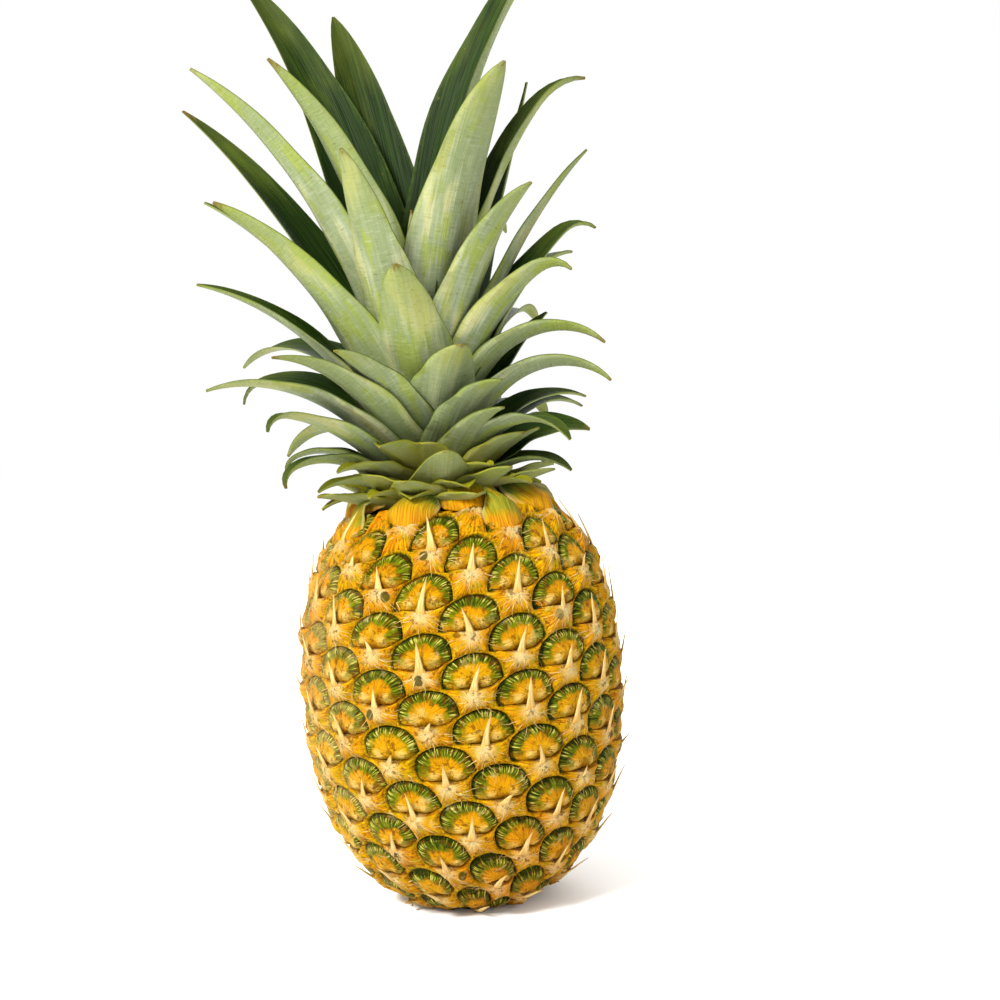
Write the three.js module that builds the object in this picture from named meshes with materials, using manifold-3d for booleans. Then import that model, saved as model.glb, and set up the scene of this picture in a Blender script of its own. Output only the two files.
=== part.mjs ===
// A whole ripe pineapple standing on its base, with its crown of leaves.
// Lengths are millimetres and angles degrees. +Z is up, the origin is the centre of the resting
// face, and the side seen in front faces -Y. Bearings are measured from the front, rightwards.
import * as THREE from 'three'
import Module from 'manifold-3d'

const wasm = await Module()
wasm.setup()
const { Manifold, Mesh } = wasm

// Fruit body
const BODY_RADIUS = 57.3
const BODY_HALF_HEIGHT = 78
const BODY_MIDDLE = 75.75
const BODY_SQUARENESS = 2.35
const BODY_TOP_HEAVINESS = 0.04
const SHOULDER_RADIUS = 36
const SEAT_DEPTH = 6
const SEAT_RADIUS = 9
const SEAT_FLOOR = [20.5, 140]
const STUB_LENGTH = 60
const STUB_SPEED = 3
const PROFILE_STEP = 1

// Eyes, numbered upwards along one spiral
const EYE_AREA = 322
const MIDDLE_EYE_HEIGHT = 11.2
const EYE_BEARING = 3.47
const EYE_TURN = 137.213
const EYE_TURN_DRIFT = -0.00641
const FIRST_EYE = -112
const LAST_EYE = 98
const COLLAR_EYE = 50
const COLLAR_FADE = 12
const SEAT_EYE = 70
const SEAT_FADE = 14
const BORDER_UNEVENNESS = 0.015
const RELIEF_UNEVENNESS = 0.22
const SPINE_SWAY = 0.14

// Crown
const STEM_FOOT = [-6, 0, 141]
const STEM_LEAN = -2
const STEM_RADII = [[0, 19], [10, 17], [25, 13], [45, 8], [60, 5]]
const CORE_PROFILE = [[16.5, 0], [16.5, 9], [20.5, 13], [17, 25], [10.5, 45], [6, 60]]
const FOOT_PROFILE = [[11, -6], [18.4, 1], [18.4, 6], [15, 14]]
const SEAT_GAP = 0.35
const SKIN_GAP = 0.5
const LOW_LEAF_RISE = 6
const LEAF_SEGMENTS = [[49, 3], [50, 4], [113, 4], [114, 5], [149, 5], [150, 6]]
const ROOT_REACH = 0.6
const ROOT_SHAPE = 0.5
const LEAF_BACK_THICKNESS = [[20, 1.6], [120, 2.6]]
const LEAF_TIP_THICKNESS = 0.9
const LEAF_EDGE_THICKNESS = 1.0
const LEAF_EDGE_TIP = 0.7
const CURL_START = 0.82
const ROLL_LENGTH = 0.25
const TIP_HALF_WIDTH = 0.9
const GOLDEN_ANGLE = 137.5

// Cut stalk in the base
const STALK_RADIUS = 12
const STALK_HEIGHT = 9
const STALK_GAP = 0.3
const STALK_CHAMFERS = [0.6, 1]

const SIMPLIFY_TOLERANCE = 0.01

const radians = THREE.MathUtils.degToRad

// Colours are the mean of each piece's own colours.
const COLOURS = { fruit: 0xcf9a3c, crown: 0x8a9a5c, cut_stalk: 0xc9ad7a }

// Repeatable scatter between -1 and 1, the same for the same two numbers.
function scatter(key, kind) {
  const wave = Math.sin(key * 12.9898 + kind * 78.233) * 43758.5453
  return 2 * (wave - Math.floor(wave)) - 1
}

// Straight-line reading of a list of [input, output] pairs.
function read(pairs, input) {
  if (input <= pairs[0][0]) return pairs[0][1]
  for (let i = 1; i < pairs.length; i += 1) {
    const [high, value] = pairs[i]
    const [low, before] = pairs[i - 1]
    if (input <= high) return before + (value - before) * (input - low) / (high - low)
  }
  return pairs[pairs.length - 1][1]
}

function bodyRadius(height) {
  const part = Math.min(Math.abs(height) / BODY_HALF_HEIGHT, 1)
  const swell = Math.pow(1 - Math.pow(part, BODY_SQUARENESS), 1 / BODY_SQUARENESS)
  return BODY_RADIUS * swell * (1 + BODY_TOP_HEAVINESS * height / BODY_HALF_HEIGHT)
}

// Outline of the body as [radius, height] points from below the base to above the seat. The straight
// stubs at both ends carry the spiral on past the real surface and are cut away afterwards.
function bodyOutline() {
  const points = []
  const baseRadius = bodyRadius(-BODY_MIDDLE)
  for (let z = -STUB_LENGTH; z < 0; z += 3) points.push([baseRadius, z])
  let height = -BODY_MIDDLE
  while (height < 0 || bodyRadius(height) > SHOULDER_RADIUS) {
    points.push([bodyRadius(height), height + BODY_MIDDLE])
    height += PROFILE_STEP
  }
  const shoulder = height + BODY_MIDDLE
  for (let radius = SHOULDER_RADIUS; radius > SEAT_RADIUS; radius -= PROFILE_STEP) {
    const inward = (SHOULDER_RADIUS - radius) / (SHOULDER_RADIUS - SEAT_RADIUS)
    points.push([radius, shoulder - SEAT_DEPTH * inward * inward])
  }
  for (let z = 0; z <= STUB_LENGTH; z += 3) points.push([SEAT_RADIUS, shoulder - SEAT_DEPTH + z])
  return points
}

// Rows of {eye, radius, height, along, up}: the running eye number at each outline point, with the
// outline's direction there. The eyes crowd together on the stubs, to keep those short.
function skinRows() {
  const outline = bodyOutline()
  const rows = []
  let area = 0
  outline.forEach(([radius, height], i) => {
    if (i > 0) {
      const [r0, z0] = outline[i - 1]
      const speed = radius === r0 ? STUB_SPEED : 1
      area += speed * Math.PI * (radius + r0) * Math.hypot(radius - r0, height - z0)
    }
    const [ra, za] = outline[Math.max(i - 2, 0)]
    const [rb, zb] = outline[Math.min(i + 2, outline.length - 1)]
    const length = Math.hypot(rb - ra, zb - za)
    rows.push({ area, radius, height, along: (rb - ra) / length, up: (zb - za) / length })
  })
  const middle = rows.find((row) => row.height - BODY_MIDDLE >= MIDDLE_EYE_HEIGHT).area
  return rows.map((row) => ({ ...row, eye: (row.area - middle) / EYE_AREA }))
}

const SKIN = skinRows()

function skinRow(eye) {
  let low = 0
  let high = SKIN.length - 1
  while (high - low > 1) {
    const half = (low + high) >> 1
    if (SKIN[half].eye <= eye) low = half
    else high = half
  }
  const [a, b] = [SKIN[low], SKIN[high]]
  const part = THREE.MathUtils.clamp((eye - a.eye) / (b.eye - a.eye), 0, 1)
  const mix = (name) => a[name] + (b[name] - a[name]) * part
  return { radius: mix('radius'), height: mix('height'), along: mix('along'), up: mix('up') }
}

// Point of the skin at an eye's own coordinates. One step of `left` leads to the eye up and to the
// left, which is 8 further on the spiral; one step of `right` to the one up and right, 13 further.
function skinPoint(eye, left, right, lift) {
  const place = eye + 8 * left + 13 * right
  const turned = EYE_TURN * place + 0.5 * EYE_TURN_DRIFT * place * place
  const bearing = radians(EYE_BEARING - turned + 360 * (3 * left + 5 * right))
  const row = skinRow(place)
  const radius = row.radius + lift * row.up
  const height = row.height - lift * row.along
  return [radius * Math.sin(bearing), -radius * Math.cos(bearing), height]
}

// Border of one eye, clockwise from its upper left side, in the coordinates of skinPoint. Corners
// are shared by three eyes and side middles by two.
const BORDER = [
  [1 / 2, 0], [2 / 3, 1 / 3], [1 / 2, 1 / 2], [1 / 3, 2 / 3], [0, 1 / 2], [-1 / 3, 1 / 3],
  [-1 / 2, 0], [-2 / 3, -1 / 3], [-1 / 2, -1 / 2], [-1 / 3, -2 / 3], [0, -1 / 2], [1 / 3, -1 / 3],
]
const CORNER_DEPTH = -3
const SIDE_DEPTH = -2.2
const PLATEAU_SIZE = 0.76

// The raised plateau follows these border points, with these lifts, from its upper left corner.
const PLATEAU = [[1, 1.3], [2, 1.7], [3, 1.3], [5, 0.4], [7, 1.0], [8, 1.2], [9, 1.0], [11, 0.4]]

// Inner points as [across, up, lift], across and up being parts of the eye's half width and height:
// the hollow of the eye, right wing, right, lower and left foot of the bract, and left wing.
const STAR = [
  [0, 0.45, 0.3], [0.52, -0.1, 2.1], [0.36, -0.5, 1.6],
  [0, -0.7, 1.6], [-0.36, -0.5, 1.6], [-0.52, -0.1, 2.1],
]
const SPINE = [0, 0.35, 4]
const COLLAR_SPINE = [0, 0.95, 4.4]

// Turns parts of the half width and half height of an eye into skinPoint's coordinates.
function eyeCoordinates(across, up) {
  return [-across / 3 + up / 2, across / 3 + up / 2]
}

function eyePoints(eye, offset) {
  const covered = THREE.MathUtils.clamp((SEAT_EYE - eye) / SEAT_FADE, 0, 1)
  const strength = covered * (1 + RELIEF_UNEVENNESS * scatter(eye, 1))
  const points = BORDER.map(([left, right], i) => {
    const key = Math.round(6 * (eye + 8 * left + 13 * right))
    const shift = BORDER_UNEVENNESS * scatter(key, 2)
    const depth = i % 2 === 1 ? CORNER_DEPTH : SIDE_DEPTH
    return skinPoint(eye, left + shift, right - shift, depth + offset)
  })
  PLATEAU.forEach(([i, lift]) => {
    const [left, right] = BORDER[i]
    points.push(skinPoint(eye, left * PLATEAU_SIZE, right * PLATEAU_SIZE, lift * strength + offset))
  })
  STAR.forEach(([across, up, lift]) => {
    const [left, right] = eyeCoordinates(across, up)
    points.push(skinPoint(eye, left, right, lift * strength + offset))
  })
  const collar = THREE.MathUtils.clamp((eye - COLLAR_EYE) / COLLAR_FADE, 0, 1)
  const tip = SPINE.map((value, i) => value + (COLLAR_SPINE[i] - value) * collar)
  const [left, right] = eyeCoordinates(tip[0] + SPINE_SWAY * scatter(eye, 3), tip[1])
  points.push(skinPoint(eye, left, right, tip[2] * strength + offset))
  return points
}

// Triangles between an outer and an inner ring, both clockwise. Faced holds the place of the inner
// point that each side of the outer ring faces.
function ringTriangles(outer, inner, faced) {
  const triangles = []
  outer.forEach((corner, i) => {
    const next = outer[(i + 1) % outer.length]
    const before = faced[(i + outer.length - 1) % outer.length]
    triangles.push([corner, inner[faced[i]], next])
    if (before !== faced[i]) triangles.push([corner, inner[before], inner[faced[i]]])
  })
  return triangles
}

function numbersFrom(first, count) {
  return Array.from({ length: count }, (_, i) => first + i)
}

// Triangles of one eye over its border, plateau and star points and the tip of its spine.
function eyeTriangles() {
  const border = numbersFrom(0, BORDER.length)
  const plateau = numbersFrom(border.length, PLATEAU.length)
  const star = numbersFrom(border.length + plateau.length, STAR.length)
  const spine = [star[star.length - 1] + 1]
  return [
    ...ringTriangles(border, plateau, [0, 0, 1, 2, 3, 3, 4, 4, 5, 6, 7, 7]),
    ...ringTriangles(plateau, star, [0, 0, 1, 2, 3, 3, 4, 5]),
    ...ringTriangles(star, spine, [0, 0, 0, 0, 0, 0]),
  ]
}

// Vertex list that gives the same number to points that coincide.
class PointList {
  constructor() {
    this.points = []
    this.numbers = new Map()
  }

  number(point) {
    const key = point.map((value) => Math.round(value * 1e4)).join()
    if (!this.numbers.has(key)) {
      this.numbers.set(key, this.points.length)
      this.points.push(point)
    }
    return this.numbers.get(key)
  }
}

// Closes every open rim with a fan to a point on the axis, a little beyond the rim.
function closeRims(points, triangles) {
  const edges = new Set()
  triangles.forEach(([a, b, c]) => [[a, b], [b, c], [c, a]].forEach((e) => edges.add(e.join())))
  const rim = [...edges].map((key) => key.split(',').map(Number))
    .filter(([a, b]) => !edges.has([b, a].join()))
  const ends = [
    rim.filter(([a]) => points[a][2] < BODY_MIDDLE),
    rim.filter(([a]) => points[a][2] >= BODY_MIDDLE),
  ]
  ends.forEach((edgesOfEnd) => {
    const height = edgesOfEnd.reduce((sum, [a]) => sum + points[a][2], 0) / edgesOfEnd.length
    points.push([0, 0, height])
    const centre = points.length - 1
    edgesOfEnd.forEach(([a, b]) => triangles.push([b, a, centre]))
  })
}

function solidOf(points, triangles) {
  return new Manifold(new Mesh({
    numProp: 3,
    vertProperties: new Float32Array(points.flat()),
    triVerts: new Uint32Array(triangles.flat()),
  }))
}

// The skin of all eyes, without its upper stub. Offset moves it outwards.
function skinSolid(offset) {
  const list = new PointList()
  const triangles = []
  const pattern = eyeTriangles()
  for (let eye = FIRST_EYE; eye <= LAST_EYE; eye += 1) {
    const numbers = eyePoints(eye, offset).map((point) => list.number(point))
    pattern.forEach(([a, b, c]) => triangles.push([numbers[a], numbers[b], numbers[c]]))
  }
  closeRims(list.points, triangles)
  const [radius, height] = SEAT_FLOOR
  const stub = turned([[radius, height], [radius, height + 2 * STUB_LENGTH]], 32)
  return solidOf(list.points, triangles).subtract(stub)
}

// Solid turned about Z from [radius, height] points running upwards.
function turned(profile, sides, spin = 0) {
  const points = []
  const triangles = []
  profile.forEach(([radius, height]) => {
    for (let i = 0; i < sides; i += 1) {
      const angle = 2 * Math.PI * i / sides + radians(spin)
      points.push([radius * Math.cos(angle), radius * Math.sin(angle), height])
    }
  })
  for (let row = 0; row < profile.length - 1; row += 1) {
    for (let i = 0; i < sides; i += 1) {
      const [a, b] = [row * sides + i, row * sides + (i + 1) % sides]
      triangles.push([a, b, b + sides], [a, b + sides, a + sides])
    }
  }
  const last = (profile.length - 1) * sides
  points.push([0, 0, profile[0][1]], [0, 0, profile[profile.length - 1][1]])
  for (let i = 0; i < sides; i += 1) {
    const next = (i + 1) % sides
    triangles.push([points.length - 2, next, i], [points.length - 1, last + i, last + next])
  }
  return solidOf(points, triangles)
}

// Leaves from top to bottom as seen from the front: bearing, rise up the stem, lean from upright at
// the root, further bend by the tip, length, width, sideways sway, bluntness of the point, extra
// curl of the tip, roll about the midrib, and depth of the channel as a part of the half width.
const LEAVES = [
  [-125, 40, 10, 34, 190, 32, -3, 1.8, 0, -30, 0.35],
  [108, 42, 3, 44, 194, 32, -6, 2.6, 0, 15, 0.6],
  [-150, 41, 10, 20, 162, 34, 0, 2.4, 0, -15, 0.35],
  [-62, 36, 5, 40, 136, 26, 0, 2.0, 0, 15, 0.45],
  [38, 38, 10, 38, 126, 32, -4, 3.4, 0, 0, 0.4],
  [130, 36, 25, -8, 136, 12, -12, 1.6, 0, 0, 0.4],
  [104, 34, 10, 38, 148, 26, 8, 2.2, 40, 8, 0.6],
  [-75, 34, 15, 36, 147, 25, -4, 1.9, 0, 20, 0.45],
  [-102, 34, 24, 24, 145, 25, 0, 1.7, 0, -30, 0.35],
  [-28, 32, 20, 8, 102, 28, -2, 2.4, 0, 0, 0.4],
  [112, 32, 24, 26, 126, 18, 14, 1.8, 0, -30, 0.4],
  [-9, 29, 24, 12, 66, 30, -4, 3.4, 0, 0, 0.4],
  [52, 28, 10, 44, 98, 26, 5, 3.2, 0, -5, 0.4],
  [-100, 28, 24, 36, 118, 22, 0, 1.8, 0, -15, 0.4],
  [105, 27, 24, 34, 108, 23, 15, 2.2, 60, 15, 0.45],
  [-128, 26, 38, 80, 104, 24, -5, 2.0, 0, -15, 0.35],
  [-62, 24, 24, 34, 112, 26, -9, 2.1, 0, 15, 0.45],
  [70, 24, 14, 58, 86, 24, 6, 2.4, 60, -20, 0.4],
  [115, 24, 36, 16, 66, 20, 0, 1.8, 0, 20, 0.4],
  [20, 20, 24, 28, 48, 30, 6, 3.6, 0, 0, 0.4],
  [-72, 20, 30, 44, 100, 24, -20, 2.0, 0, -15, 0.4],
  [82, 20, 12, 118, 84, 20, 0, 1.9, 0, -20, 0.35],
  [-36, 19, 28, 44, 58, 27, -4, 2.2, 0, 0, 0.4],
  [-108, 17, 34, 80, 82, 20, 0, 2.0, 60, -25, 0.35],
  [-50, 15, 30, 56, 72, 27, -9, 1.8, 0, 0, 0.4],
  [82, 15, 20, 114, 78, 19, 3, 1.9, 0, -20, 0.35],
  [38, 14, 28, 45, 47, 26, 0, 3.4, 0, 0, 0.4],
  [110, 14, 38, 70, 66, 16, 7, 1.8, 0, 20, 0.4],
  [-64, 13, 38, 66, 84, 23, -20, 1.7, 0, 0, 0.4],
  [122, 12, 42, 70, 74, 18, 10, 1.8, 0, 20, 0.4],
  [-26, 10, 42, 50, 34, 24, 0, 2.6, 0, 0, 0.4],
  [55, 9, 34, 104, 62, 20, -10, 2.4, 0, 0, 0.4],
  [92, 9, 44, 66, 55, 24, 0, 2.4, 0, 35, 0.35],
  [34, 9, 32, 46, 44, 21, 10, 2.4, 0, 0, 0.4],
  [-60, 9, 44, 48, 66, 22, 6, 1.8, 80, 0, 0.4],
  [-6, 7, 32, 20, 25, 26, 0, 3.2, 0, 0, 0.4],
  [-90, 7, 40, 92, 54, 14, -14, 1.6, 60, 0, 0.4],
  [54, 6, 38, 42, 38, 18, 0, 2.2, 0, 0, 0.4],
  [75, 6, 42, 26, 38, 15, 4, 2.0, 0, 0, 0.4],
  [-46, 6, 48, 60, 38, 20, 0, 2.2, 0, 0, 0.4],
  [14, 5, 44, 30, 26, 22, 0, 2.6, 0, 0, 0.4],
  [72, 4, 45, 85, 47, 19, -6, 2.2, 0, 10, 0.35],
  [-68, 4, 42, 92, 56, 19, 6, 2.2, 60, 0, 0.4],
  [32, 4, 44, 50, 30, 20, 10, 2.4, 0, 0, 0.4],
  [-52, 3, 54, 62, 42, 18, 0, 2.0, 0, 0, 0.4],
  [18, 3, 58, 46, 30, 20, 0, 2.6, 0, 0, 0.35],
  [52, 3, 62, 40, 34, 22, 0, 2.4, 0, 0, 0.35],
  [-34, 2, 60, 44, 30, 18, 0, 2.2, 0, 0, 0.35],
  [80, 3, 60, 44, 30, 18, 0, 2.2, 0, 0, 0.35],
  [-12, 1, 62, 36, 28, 20, 0, 2.4, 0, 0, 0.35],
  [-66, 2, 62, 60, 34, 14, 0, 2.0, 0, 0, 0.35],
]
const LEAF_FIELDS = [
  'bearing', 'rise', 'lean', 'bend', 'length', 'width', 'sway', 'blunt', 'curl', 'roll', 'fold',
]

// Away from the front the leaves follow the spiral: as [rise, value] pairs.
const BACK_LENGTHS = [[0, 42], [8, 60], [16, 82], [24, 104], [34, 132]]
const BACK_LEANS = [[0, 56], [8, 46], [16, 38], [24, 32], [34, 30]]
const BACK_BENDS = [[0, 60], [8, 80], [16, 74], [24, 60], [34, 46]]
const BACK_WIDTHS = [[0, 17], [8, 20], [16, 22], [24, 24], [34, 26]]
const BACK_COUNT = 64
const BACK_START = 132
const BACK_LOW_RISE = 2
const BACK_TOP_RISE = 34
const HEART = [[47, 62, 8], [51, 52, 6], [55, 42, 4]]

function namedLeaf(values) {
  return Object.fromEntries(LEAF_FIELDS.map((field, i) => [field, values[i]]))
}

function backLeaves() {
  const leaves = []
  for (let i = 0; i < BACK_COUNT; i += 1) {
    const rise = BACK_LOW_RISE + (BACK_TOP_RISE - BACK_LOW_RISE) * i / BACK_COUNT
    const bearing = ((BACK_START + GOLDEN_ANGLE * i) % 360 + 540) % 360 - 180
    if (Math.abs(bearing) < BACK_START) continue
    leaves.push({
      bearing,
      rise,
      lean: read(BACK_LEANS, rise) + 4 * scatter(i, 4),
      bend: read(BACK_BENDS, rise) + 14 * scatter(i, 5),
      length: read(BACK_LENGTHS, rise) * (1 + 0.1 * scatter(i, 6)),
      width: read(BACK_WIDTHS, rise),
      sway: 12 * scatter(i, 7),
      blunt: 2,
      curl: i % 3 === 0 ? 50 : 0,
      roll: 12 * scatter(i, 8),
      fold: 0.4,
    })
  }
  return leaves
}

// Short young leaves standing in the heart of the crown.
function heartLeaves() {
  return HEART.map(([rise, length, lean], i) => namedLeaf(
    [GOLDEN_ANGLE * i, rise, lean, 8, length, 14, 0, 2, 0, 0, 0.5],
  ))
}

function stemPoint(rise) {
  const lean = radians(STEM_LEAN)
  const [x, y, z] = STEM_FOOT
  return new THREE.Vector3(x + Math.sin(lean) * rise, y, z + Math.cos(lean) * rise)
}

// Half width of a blade at a part of its length, as a part of its greatest half width.
function bladeShape(part, blunt) {
  const swell = ROOT_SHAPE + (1 - ROOT_SHAPE) * Math.sin(Math.PI * Math.min(part / 0.8, 1))
  return swell * Math.pow(Math.max(1 - Math.pow(part, blunt), 0), 0.85)
}

// Direction of the midrib and the two axes across the blade at a part of its length.
function leafFrame(leaf, part) {
  const tipCurl = leaf.curl * Math.pow(Math.max((part - CURL_START) / (1 - CURL_START), 0), 1.5)
  const lean = radians(leaf.lean + leaf.bend * Math.pow(part, 1.6) + tipCurl)
  const bearing = radians(leaf.bearing + leaf.sway * Math.pow(part, 1.5))
  const roll = radians(leaf.roll) * Math.min(part / ROLL_LENGTH, 1)
  const out = new THREE.Vector3(Math.sin(bearing), -Math.cos(bearing), 0)
  const along = out.clone().multiplyScalar(Math.sin(lean)).setZ(Math.cos(lean))
  const side = new THREE.Vector3(Math.cos(bearing), Math.sin(bearing), 0)
  const inner = new THREE.Vector3().crossVectors(along, side)
  const across = side.clone().multiplyScalar(Math.cos(roll)).addScaledVector(inner, Math.sin(roll))
  return { along, across, inward: new THREE.Vector3().crossVectors(along, across) }
}

// Midrib points of a leaf, one for each of its sections, with their frames.
function leafSections(leaf, segments) {
  const bearing = radians(leaf.bearing)
  const rootReach = ROOT_REACH * read(STEM_RADII, leaf.rise)
  const point = stemPoint(leaf.rise)
  point.x += rootReach * Math.sin(bearing)
  point.y -= rootReach * Math.cos(bearing)
  const sections = [{ part: 0, point: point.clone(), ...leafFrame(leaf, 0) }]
  const steps = 4
  for (let i = 1; i <= segments * steps; i += 1) {
    const part = i / (segments * steps)
    const half = leafFrame(leaf, part - 0.5 / (segments * steps))
    point.addScaledVector(half.along, leaf.length / (segments * steps))
    if (i % steps === 0) sections.push({ part, point: point.clone(), ...leafFrame(leaf, part) })
  }
  return sections
}

// Channelled blade: each section has a left edge, midrib and right edge on the inner face and the
// same three on the outer face, and every strip is split the same way on both faces.
function leafSolid(leaf) {
  const segments = Math.round(read(LEAF_SEGMENTS, leaf.length))
  const points = []
  const rootBack = read(LEAF_BACK_THICKNESS, leaf.length)
  leafSections(leaf, segments).forEach(({ part, point, across, inward }) => {
    const half = Math.max(bladeShape(part, leaf.blunt) * leaf.width / 2, TIP_HALF_WIDTH)
    const back = rootBack + (LEAF_TIP_THICKNESS - rootBack) * Math.sqrt(part)
    const edge = LEAF_EDGE_THICKNESS + (LEAF_EDGE_TIP - LEAF_EDGE_THICKNESS) * part
    const rise = leaf.fold * half
    const left = point.clone().addScaledVector(across, -half).addScaledVector(inward, rise)
    const right = point.clone().addScaledVector(across, half).addScaledVector(inward, rise)
    const inner = [left, point, right]
    const outer = [right, point, left].map((p, i) => (
      p.clone().addScaledVector(inward, i === 1 ? -back : -edge)
    ))
    points.push(...[...inner, ...outer].map((p) => p.toArray()))
  })
  const triangles = []
  for (let i = 0; i < segments; i += 1) {
    const [a, b] = [6 * i, 6 * i + 6]
    const strips = [[0, 1], [1, 2], [2, 3], [3, 4], [4, 5], [5, 0]]
    strips.forEach(([k, m]) => {
      const mirrored = k === 1 || k === 3
      if (mirrored) triangles.push([a + k, a + m, b + k], [a + m, b + m, b + k])
      else triangles.push([a + k, a + m, b + m], [a + k, b + m, b + k])
    })
  }
  const end = 6 * segments
  const cap = [[0, 1, 5], [1, 4, 5], [1, 2, 4], [2, 3, 4]]
  cap.forEach(([a, b, c]) => triangles.push([a, c, b], [end + a, end + b, end + c]))
  return orientedSolid(points, triangles)
}

// A solid whose faces all look outwards, whichever way round they were listed.
function orientedSolid(points, triangles) {
  let volume = 0
  triangles.forEach(([a, b, c]) => {
    const [p, q, r] = [a, b, c].map((k) => new THREE.Vector3(...points[k]))
    volume += p.dot(q.cross(r))
  })
  return solidOf(points, volume > 0 ? triangles : triangles.map(([a, b, c]) => [a, c, b]))
}

// Solid foot of the crown, sunk in the fruit's seat. Gap widens it all round.
function footSolid(gap, extraHeight) {
  const profile = FOOT_PROFILE.map(([radius, height]) => [radius + gap, height])
  profile[0][1] -= gap
  if (extraHeight > 0) {
    const wall = profile[2][0]
    profile.pop()
    profile.push([wall, extraHeight])
  }
  const [x, y, z] = STEM_FOOT
  return turned(profile, 32).translate([x, y, z])
}

function coreSolid() {
  const [x, y, z] = STEM_FOOT
  return turned(CORE_PROFILE, 16).rotate([0, STEM_LEAN, 0]).translate([x, y, z])
}

function largestPart(solid) {
  return solid.decompose().sort((a, b) => b.volume() - a.volume())[0]
}

function crownSolid() {
  const leaves = [...LEAVES.map(namedLeaf), ...backLeaves(), ...heartLeaves()]
  const fruitSpace = skinSolid(SKIN_GAP).subtract(footSolid(0, STUB_LENGTH))
  const blades = Manifold.union(leaves.map((leaf) => (
    leaf.rise < LOW_LEAF_RISE ? leafSolid(leaf).subtract(fruitSpace) : leafSolid(leaf)
  )))
  return largestPart(blades.add(footSolid(0, 0)).add(coreSolid()))
}

function fruitSolid() {
  const stalkHole = turned([
    [STALK_RADIUS + STALK_GAP, -10], [STALK_RADIUS + STALK_GAP, STALK_HEIGHT + STALK_GAP],
  ], 24)
  const seat = footSolid(SEAT_GAP, STUB_LENGTH + 40)
  const fruit = skinSolid(0).trimByPlane([0, 0, 1], 0).subtract(seat).subtract(stalkHole)
  return largestPart(fruit)
}

function stalkSolid() {
  const [low, high] = STALK_CHAMFERS
  return turned([
    [STALK_RADIUS - low, 0], [STALK_RADIUS, low],
    [STALK_RADIUS, STALK_HEIGHT - high], [STALK_RADIUS - high, STALK_HEIGHT],
  ], 24)
}

function meshOf(solid, name) {
  const { numProp, vertProperties, triVerts } = solid.simplify(SIMPLIFY_TOLERANCE).getMesh()
  const positions = new Float32Array(3 * vertProperties.length / numProp)
  for (let i = 0; i < positions.length; i += 1) {
    positions[i] = vertProperties[numProp * Math.floor(i / 3) + i % 3]
  }
  const geometry = new THREE.BufferGeometry()
  geometry.setAttribute('position', new THREE.BufferAttribute(positions, 3))
  geometry.setIndex(new THREE.BufferAttribute(new Uint32Array(triVerts), 1))
  geometry.computeVertexNormals()
  const material = new THREE.MeshStandardMaterial({ color: COLOURS[name], roughness: 0.6 })
  material.name = name
  const mesh = new THREE.Mesh(geometry, material)
  mesh.name = name
  return mesh
}

const pineapple = new THREE.Group()
pineapple.name = 'pineapple'
pineapple.add(meshOf(fruitSolid(), 'fruit'))
pineapple.add(meshOf(crownSolid(), 'crown'))
pineapple.add(meshOf(stalkSolid(), 'cut_stalk'))

export default pineapple
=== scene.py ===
# Looks of a whole ripe pineapple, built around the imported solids.
# The frame is in metres, and so are the stage and what materials read from the object's own
# coordinates. All other lengths are millimetres. The solids' own driving values are repeated, so
# that eyes and leaves grow where the solids have them.
import math

import bpy
import numpy as np
from mathutils import Matrix, Vector
from mathutils.bvhtree import BVHTree


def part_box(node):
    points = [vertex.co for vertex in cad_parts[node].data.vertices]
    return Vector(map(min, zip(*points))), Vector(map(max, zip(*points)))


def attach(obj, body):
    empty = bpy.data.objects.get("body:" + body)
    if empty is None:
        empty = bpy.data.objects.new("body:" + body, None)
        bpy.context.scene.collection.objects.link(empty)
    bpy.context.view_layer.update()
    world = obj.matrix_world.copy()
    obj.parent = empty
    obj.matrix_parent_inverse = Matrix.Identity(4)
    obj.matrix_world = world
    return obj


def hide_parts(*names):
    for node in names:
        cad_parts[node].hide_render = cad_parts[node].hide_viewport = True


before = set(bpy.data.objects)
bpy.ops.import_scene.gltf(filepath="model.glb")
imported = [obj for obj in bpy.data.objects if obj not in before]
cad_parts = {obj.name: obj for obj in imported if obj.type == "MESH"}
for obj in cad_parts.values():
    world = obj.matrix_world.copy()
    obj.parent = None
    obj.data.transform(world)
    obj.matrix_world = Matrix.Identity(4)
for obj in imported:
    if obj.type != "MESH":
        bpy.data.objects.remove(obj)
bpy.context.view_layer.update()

MM = 0.001

# Camera, fitted to eye centres and outline points in the photo
CAMERA_PLACE = (0.0, -532.3, 166.9)
CAMERA_RIGHT = (0.99753, -0.03567, -0.06047)
CAMERA_UP = (0.06189, 0.03992, 0.99728)
CAMERA_LENS = 52.45
CAMERA_SENSOR = 36.0
CAMERA_NEAREST = 10.0

# Stage, in metres. A light is its name, place, size, power and colour.
FLOOR_HALF_SIZE = 60.0
LIGHT_TARGET = (0, 0, 0.17)
LIGHTS = (
    ("key", (-0.8, -1.0, 1.2), 0.45, 66, (1.0, 0.98, 0.94)),
    ("fill", (1.1, -0.9, 0.5), 1.0, 5, (0.97, 0.98, 1.0)),
    ("back", (0.2, 1.1, 0.9), 0.9, 8, (1.0, 1.0, 1.0)),
)

# Fruit body, as in the solids
BODY_RADIUS = 57.3
BODY_HALF_HEIGHT = 78.0
BODY_MIDDLE = 75.75
BODY_SQUARENESS = 2.35
BODY_TOP_HEAVINESS = 0.04
SHOULDER_RADIUS = 36.0
SEAT_DEPTH = 6.0
SEAT_RADIUS = 9.0
STUB_LENGTH = 60.0
STUB_SPEED = 3.0
STUB_STEP = 3
PROFILE_STEP = 1

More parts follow.
